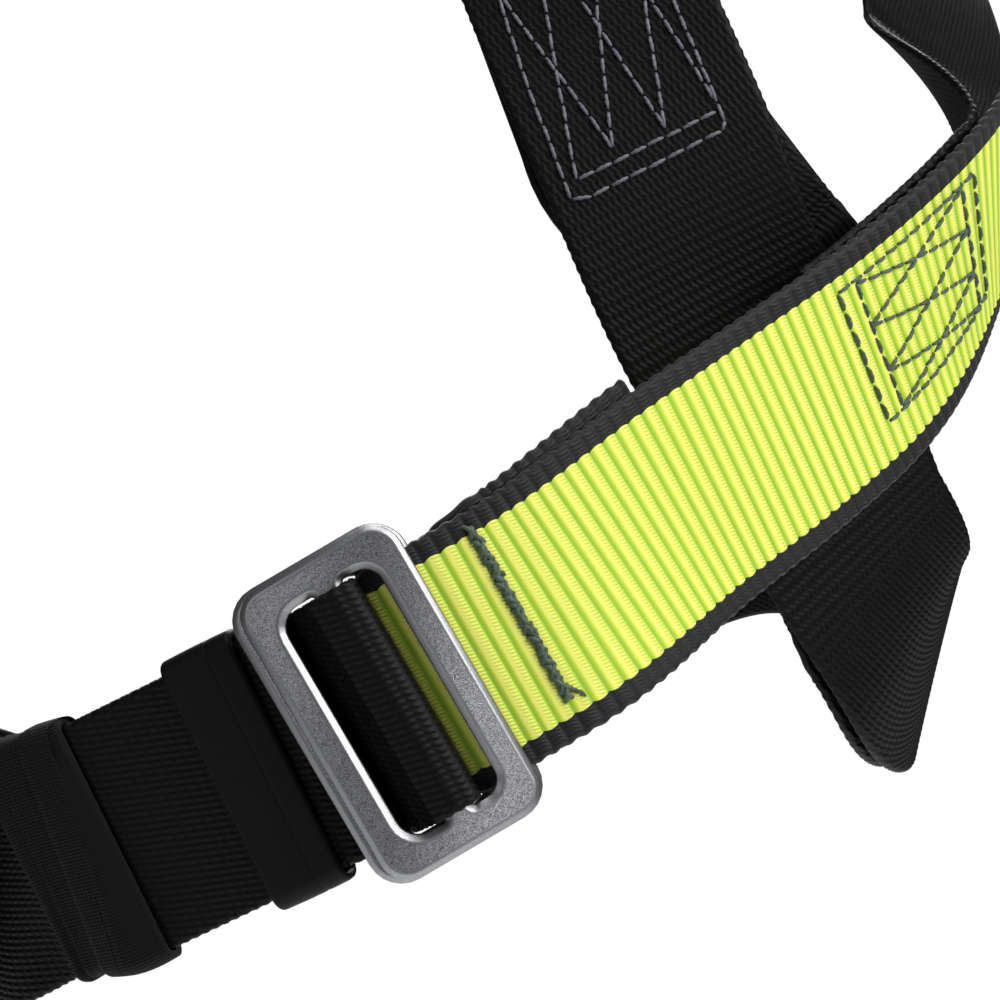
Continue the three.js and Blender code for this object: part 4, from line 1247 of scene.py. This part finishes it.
both(keeper("leg_keeper_band_left", LEG_KEEPER, KEEPER_INNER),
     "leg_keeper_band", "keeper_rubber", "leg_keeper_{}", "leg_keeper")
both(keeper("torso_keeper_band_left", TORSO_KEEPER, TORSO_KEEPER_INNER),
     "torso_keeper_band", "keeper_rubber", "torso_keeper_{}", "torso_keeper")
place(keeper("chest_keeper_band", CHEST_KEEPER, KEEPER_INNER),
      "keeper_rubber", "chest_keeper", "chest_keeper")
both(band("leg_elastic_left", Strap(LEG_SLEEVE), SLEEVE_INNER, SLEEVE_WALL, ELASTIC, sleeve_shape),
     "leg_elastic", "elastic", "root", "leg_sleeve")

# Dorsal shell, its two lugs, the pad and the ring
SHELL_INNER_Y = DORSAL_OUTER_Y + WEB_THICK / 2 + GAP + 0.3
SHELL_MIDDLE_Y = SHELL_INNER_Y + SHELL_THICK * 0.5
SHELL_OUTER_Y = SHELL_INNER_Y + SHELL_THICK
PAD_OUTER_Y = DORSAL_INNER_Y - WEB_THICK / 2 - GAP - 0.3
PAD_MIDDLE_Y = PAD_OUTER_Y - PAD_THICK / 2
HINGE_Z = DORSAL_Z + 8
LUG_AT, LUG_LENGTH, HINGE_BORE = 16, 10, 5.1


def outline_of(width, height, corner):
    return rounded_loop((-width / 2, width / 2), (-height / 2, height / 2), [corner] * 4, 0, 14, 28)


def rim_of(reach):
    return np.sqrt(np.clip(1 - np.clip((reach - 0.955) / 0.045, 0, 1) ** 2, 0, 1))


def shell_front(x, z, reach):
    panel = 0.8 * np.exp(-((reach - 0.9) / 0.03) ** 2)
    slope = (45 * x + 48 * z) / 65.8, (45 * x - 48 * z) / 65.8
    inside = np.clip((0.84 - reach) / 0.05, 0, 1)
    ribs = sum(0.7 * np.exp(-((np.abs(d) - 22.5) / 1.1) ** 2) for d in slope)
    return SHELL_MIDDLE_Y + (SHELL_THICK * 0.5 - 0.5) * rim_of(reach) + panel + ribs * inside


def shell_back(x, z, reach):
    return SHELL_MIDDLE_Y - SHELL_THICK * 0.5 * rim_of(reach)


def quilt(x, z, reach):
    lines = np.minimum(np.abs((x + z) % 24 - 12), np.abs((x - z) % 24 - 12))
    channel = np.exp(-(lines / 2.0) ** 2) * (reach < 0.84)
    return 1.5 * np.maximum(channel, np.exp(-((reach - 0.87) / 0.03) ** 2))


def crown_of(reach):
    return np.clip(1 - reach**8, 0, 1) ** 0.5


def pad_front(x, z, reach):
    return PAD_MIDDLE_Y + (PAD_THICK / 2) * crown_of(reach)


def pad_back(x, z, reach):
    crown = crown_of(reach)
    return PAD_MIDDLE_Y - (PAD_THICK / 2 + 2.5) * crown + quilt(x, z, reach) * crown


SHELL_OUTLINE = outline_of(DORSAL_WIDTH, DORSAL_HEIGHT, 18)
PAD_OUTLINE = outline_of(DORSAL_WIDTH + 13, DORSAL_HEIGHT + 13, 22)
shell = pillow("dorsal_plate", SHELL_OUTLINE, (0, DORSAL_Z), shell_front, shell_back, [PLASTIC], 70)
place(shell, "moulded_plastic", "root", "dorsal_shell")
pad = pillow("dorsal_padding", PAD_OUTLINE, (0, DORSAL_Z), pad_front, pad_back, [PAD], 70)
place(pad, "pad_cloth", "root", "dorsal_pad")


def rod(name, path, radius, looks, closed=True, facing=(0, 1, 0), ridge=0.0, wide=1.0):
    """A round-section bar along a path of points."""
    path = np.array(path, float)
    around = 24
    if closed:
        tangent = unit(np.roll(path, -1, 0) - np.roll(path, 1, 0))
    else:
        padded = np.vstack([path[:1], path, path[-1:]])
        tangent = unit(padded[2:] - padded[:-2])
    up = np.broadcast_to(np.array(facing, float), path.shape)
    beside = unit(np.cross(tangent, up))
    up = np.cross(beside, tangent)
    angle = np.linspace(0, 2 * np.pi, around, endpoint=False)
    r = radius * (1 + ridge * np.abs(np.cos(angle)) ** 24)
    rings = (path[:, None] + beside[:, None] * (wide * r * np.cos(angle))[None, :, None]
             + up[:, None] * (r * np.sin(angle))[None, :, None])
    return tube(name, rings, looks, closed_path=closed)


PIPING = outline_of(DORSAL_WIDTH + 13.5, DORSAL_HEIGHT + 13.5, 22)
piping = rod("dorsal_piping", [(x, PAD_MIDDLE_Y, DORSAL_Z + z) for x, z in PIPING], 1.25, [PAD])
place(piping, "pad_cloth")

LUG = ((-HINGE_OUT, HINGE_OUT), (-1.5, 2 * HINGE_OUT), [HINGE_OUT - 0.1, HINGE_OUT - 0.1, 0.3, 0.3])
BORE_HEIGHT = (HINGE_OUT - HINGE_BORE, HINGE_OUT + HINGE_BORE)
LUG_BORE = ((-HINGE_BORE, HINGE_BORE), BORE_HEIGHT, [HINGE_BORE - 0.01] * 4)
lug_edge = chamfer(0.4, 0.5, LUG_LENGTH, 0.35)
for side, at in (("left", LUG_AT), ("right", -LUG_AT)):
    lug_frame = Frame((at, SHELL_OUTER_Y, HINGE_Z), (0, 0, -1), (1, 0, 0), (0, 1, 0))
    lug = bar_plate(f"dorsal_lug_{side}", lug_frame, 0, LUG, [LUG_BORE], lug_edge, lug_edge, [PLASTIC] * 2)
    place(lug, "moulded_plastic")

D_HALF = D_RING_OUTER / 2 - D_RING_BAR / 2
D_CORNER = 7
D_PATH = [
    *arc((D_HALF - D_CORNER, -D_CORNER), D_CORNER, 90, 0, 8),
    *arc((0, -D_RING_STRAIGHT), D_HALF, 0, -180, 48),
    *arc((D_CORNER - D_HALF, -D_CORNER), D_CORNER, 180, 90, 8),
    *[(x, 0) for x in np.linspace(D_CORNER - D_HALF + 3, D_HALF - D_CORNER - 3, 16)],
]
d_ring = rod("dorsal_d_ring", [(x, SHELL_OUTER_Y + HINGE_OUT, HINGE_Z + z) for x, z in D_PATH], 3.5, [STEEL],
             ridge=0.05, wide=1.14)
place(d_ring, "forged_steel", "dorsal_ring", "dorsal_ring")

# Label pouch: a flat padded sleeve with a flap and bound edges
POUCH_LINE = Strap(LABEL_POUCH, POUCH_WIDTH - 2, POUCH_THICK)


def pouch_rings():
    length = POUCH_LINE.length
    s = np.linspace(0.6, length - 0.6, round(length / 0.7))
    rings = []
    for x in s:
        end = min(x, length - x)
        round_end = math.sqrt(max(0.05, 1 - max(0, 1 - end / 2) ** 2))
        t = np.sin(np.linspace(-np.pi / 2, np.pi / 2, 61)) * (POUCH_WIDTH / 2 - 1.2)
        crown = np.sqrt(np.clip(1 - (np.abs(t) / (POUCH_WIDTH / 2 - 1.19)) ** 12, 0, 1))
        bound = 0.45 * np.exp(-((np.abs(t) - POUCH_WIDTH / 2 + 3) / 1.4) ** 4) + (0.45 if end < 4 else 0)
        flap = 0.55 if x > length * 0.66 else 0.0
        up = (POUCH_THICK / 2 - 0.9 + flap + np.minimum(bound, 0.45)) * crown * round_end
        down = -(POUCH_THICK / 2) * crown * round_end
        rings.append(np.vstack([
            POUCH_LINE.surface(np.full(61, x), t, up),
            POUCH_LINE.surface(np.full(59, x), t[-2:0:-1], down[-2:0:-1]),
        ]))
    return np.array(rings)


pouch = tube("label_case", pouch_rings(), [POUCH])
place(pouch, "pouch_cloth", "root", "label_pouch")


# ---- Seams ----

def sewn(seams, name, look, slot="black_webbing"):
    return place(seams.make(name, look), slot)


# A bar tack by the buckle and a double crossed box at the hip, in green thread
HIP_BOX_S = (187.5, 223.5)
HIP_BOX_T = (-11.3, 15.4)
HIP_OUTER_S = (182.6, 228.2)
hip_thread = Seams(HIP, lift=0.42, seed=3)
hip_thread.stitch((90.3, -14.0), (92.3, -16.6), bow=0.5)
hip_tack = Seams(HIP, thread=1.0, lift=0.42, seed=4)
hip_tack.bar_tack(90.0, 20.2, -14.4, width=3.0, pitch=0.7)
for outer_s in HIP_OUTER_S:
    hip_thread.run((outer_s, HIP_BOX_T[1] + 0.4), (outer_s, HIP_BOX_T[0]))
for inner_s in HIP_BOX_S:
    hip_thread.run((inner_s, HIP_BOX_T[1]), (inner_s, HIP_BOX_T[0]))
for edge_t in (HIP_BOX_T[1] + 0.6, HIP_BOX_T[0] - 0.3):
    hip_thread.run((HIP_OUTER_S[0], edge_t), (HIP_OUTER_S[1], edge_t))
ZIGZAG = (HIP_BOX_T[1], 6.4, -3.4, HIP_BOX_T[0])
for k in range(3):
    near, far = HIP_BOX_S if k % 2 == 0 else HIP_BOX_S[::-1]
    hip_thread.run((near, ZIGZAG[k]), (far, ZIGZAG[k + 1]))
    hip_thread.run((far, ZIGZAG[k]), (near, ZIGZAG[k + 1]))
hip_seams = hip_thread.make("hip_stitches_left", GREEN_THREAD)
both(hip_seams, "hip_stitches", "hi_vis_webbing", "root")
both(hip_tack.make("hip_tack_left", GREEN_THREAD), "hip_tack", "hi_vis_webbing", "root")

# The torso strap on the seat strap, in grey thread: a long box with two crossing zigzags
seat_thread = Seams(SEAT, side=-1, thread=0.7, lift=0.2, seed=5)
seat_thread.run((30, 14.6), (57, 17.0), (84.3, 18.4), (85.2, 14.5), (83.4, -13.0), (82.0, -14.0))
seat_thread.run((81.4, 15.8), (79.8, -13.4))
seat_thread.run((82.0, -14.0), (56, -14.6), (30, -14.6), (30, 14.6))
seat_thread.run((81.4, 16.0), (30, 4.3), (79, -3.2), (36, -14.2))
seat_thread.run((34, 16.6), (78.4, 7.4), (30, -7.3), (77.6, -13.8))
seat_seams = seat_thread.make("seat_stitches_left", GREY_THREAD)
both(seat_seams, "seat_stitches", "black_webbing", "root")

# The leg strap on the seat strap, behind
leg_thread = Seams(LEG, side=1, lift=0.2, seed=7)
leg_thread.crossed_box(6, 42, -16, 16, 3)
both(leg_thread.make("leg_stitches_left", BLACK_THREAD), "leg_stitches", "black_webbing", "root")

# The shoulder straps on the hip straps
for side, strap, face in (("right", SHOULDER_RIGHT, 1), ("left", SHOULDER_LEFT, -1)):
    shoulder_thread = Seams(strap, side=face, lift=0.2, seed=9)
    shoulder_thread.crossed_box(strap.length - 34, strap.length - 8, -16, 16, 2)
    sewn(shoulder_thread, f"shoulder_stitches_{side}", BLACK_THREAD)

# The chest strap's ends, and the lanyard loops' bar tacks
chest_thread = Seams(CHEST_LEFT, side=1, lift=0.2, seed=11)
chest_thread.crossed_box(4, 28, -16, 16, 2)
sewn(chest_thread, "chest_stitches_left", BLACK_THREAD)
chest_thread = Seams(CHEST_RIGHT, side=1, lift=0.2, seed=12)
chest_thread.crossed_box(CHEST_RIGHT.length - 28, CHEST_RIGHT.length - 4, -16, 16, 2)
sewn(chest_thread, "chest_stitches_right", BLACK_THREAD)
loop_thread = Seams(LANYARD, side=1, thread=0.6, lift=0.1, seed=13)
for s in (3.5, LANYARD.length - 3.5):
    loop_thread.bar_tack(s, -10.5, 10.5)
both(loop_thread.make("lanyard_stitches_left", BLACK_THREAD), "lanyard_stitches", "black_webbing", "root")


# ---- Camera, light and floor ----

CAMERA_AT = (0.108, -0.938, -0.560)
CAMERA_LENS = 163.3
camera = bpy.data.objects.new("camera", bpy.data.cameras.new("camera"))
bpy.context.scene.collection.objects.link(camera)
camera.location = CAMERA_AT
camera.rotation_euler = (math.radians(90), 0, 0)
camera.data.lens = CAMERA_LENS
camera.data.sensor_width = 36
camera.data.clip_start = 0.05
camera.data.clip_end = 20
bpy.context.scene.camera = camera


def area_light(name, location, target, size, watts, colour=(1, 1, 1)):
    data = bpy.data.lights.new(name, "AREA")
    data.shape = "RECTANGLE"
    data.size, data.size_y = size
    data.energy = watts
    data.color = colour
    light = bpy.data.objects.new(name, data)
    light.location = location
    light.rotation_euler = (Vector(target) - Vector(location)).to_track_quat("-Z", "Y").to_euler()
    bpy.context.scene.collection.objects.link(light)


FOCUS = (0.1, -0.1, -0.5)
area_light("key", (1.15, -0.95, 0.35), FOCUS, (1.1, 1.3), 34)
area_light("top", (0.0, -0.35, 1.0), FOCUS, (0.9, 0.5), 11)
area_light("fill", (-1.3, -1.2, -0.1), FOCUS, (0.9, 0.9), 3)
area_light("back", (0.2, 1.6, 0.5), (0, 0.1, -0.3), (1.2, 1.0), 26)

world = bpy.data.worlds.new("studio")
bpy.context.scene.world = world
world.use_nodes = True
tree = world.node_tree
tree.nodes.clear()
output = tree.nodes.new("ShaderNodeOutputWorld")
choose = tree.nodes.new("ShaderNodeMixShader")
rays = tree.nodes.new("ShaderNodeLightPath")


def background(colour, strength):
    node = tree.nodes.new("ShaderNodeBackground")
    node.inputs[0].default_value = colour
    node.inputs[1].default_value = strength
    return node


# The camera sees a white studio, and the object is lit by a dim one
dim = background((0.9, 0.95, 1, 1), 0.09)
bright = background((1, 1, 1, 1), 1.0)
tree.links.new(rays.outputs["Is Camera Ray"], choose.inputs[0])
tree.links.new(dim.outputs[0], choose.inputs[1])
tree.links.new(bright.outputs[0], choose.inputs[2])
tree.links.new(choose.outputs[0], output.inputs[0])
bpy.context.scene.view_settings.view_transform = "Standard"

floor_mesh = bpy.data.meshes.new("floor")
FLOOR_HALF, FLOOR_Z = 3.0, -1.45
floor_corners = [(x * FLOOR_HALF, y * FLOOR_HALF, FLOOR_Z) for x, y in ((-1, -1), (1, -1), (1, 1), (-1, 1))]
floor_mesh.from_pydata(floor_corners, [], [(0, 1, 2, 3)])
floor_look = Look("floor", Roughness=0.9, Specular_IOR_Level=0.1,
                  Emission_Color=(1, 1, 1, 1), Emission_Strength=0.25)
floor_look.shader.inputs["Base Color"].default_value = (0.85, 0.85, 0.85, 1)
floor_mesh.materials.append(floor_look.material)
floor = bpy.data.objects.new("floor", floor_mesh)
bpy.context.scene.collection.objects.link(floor)
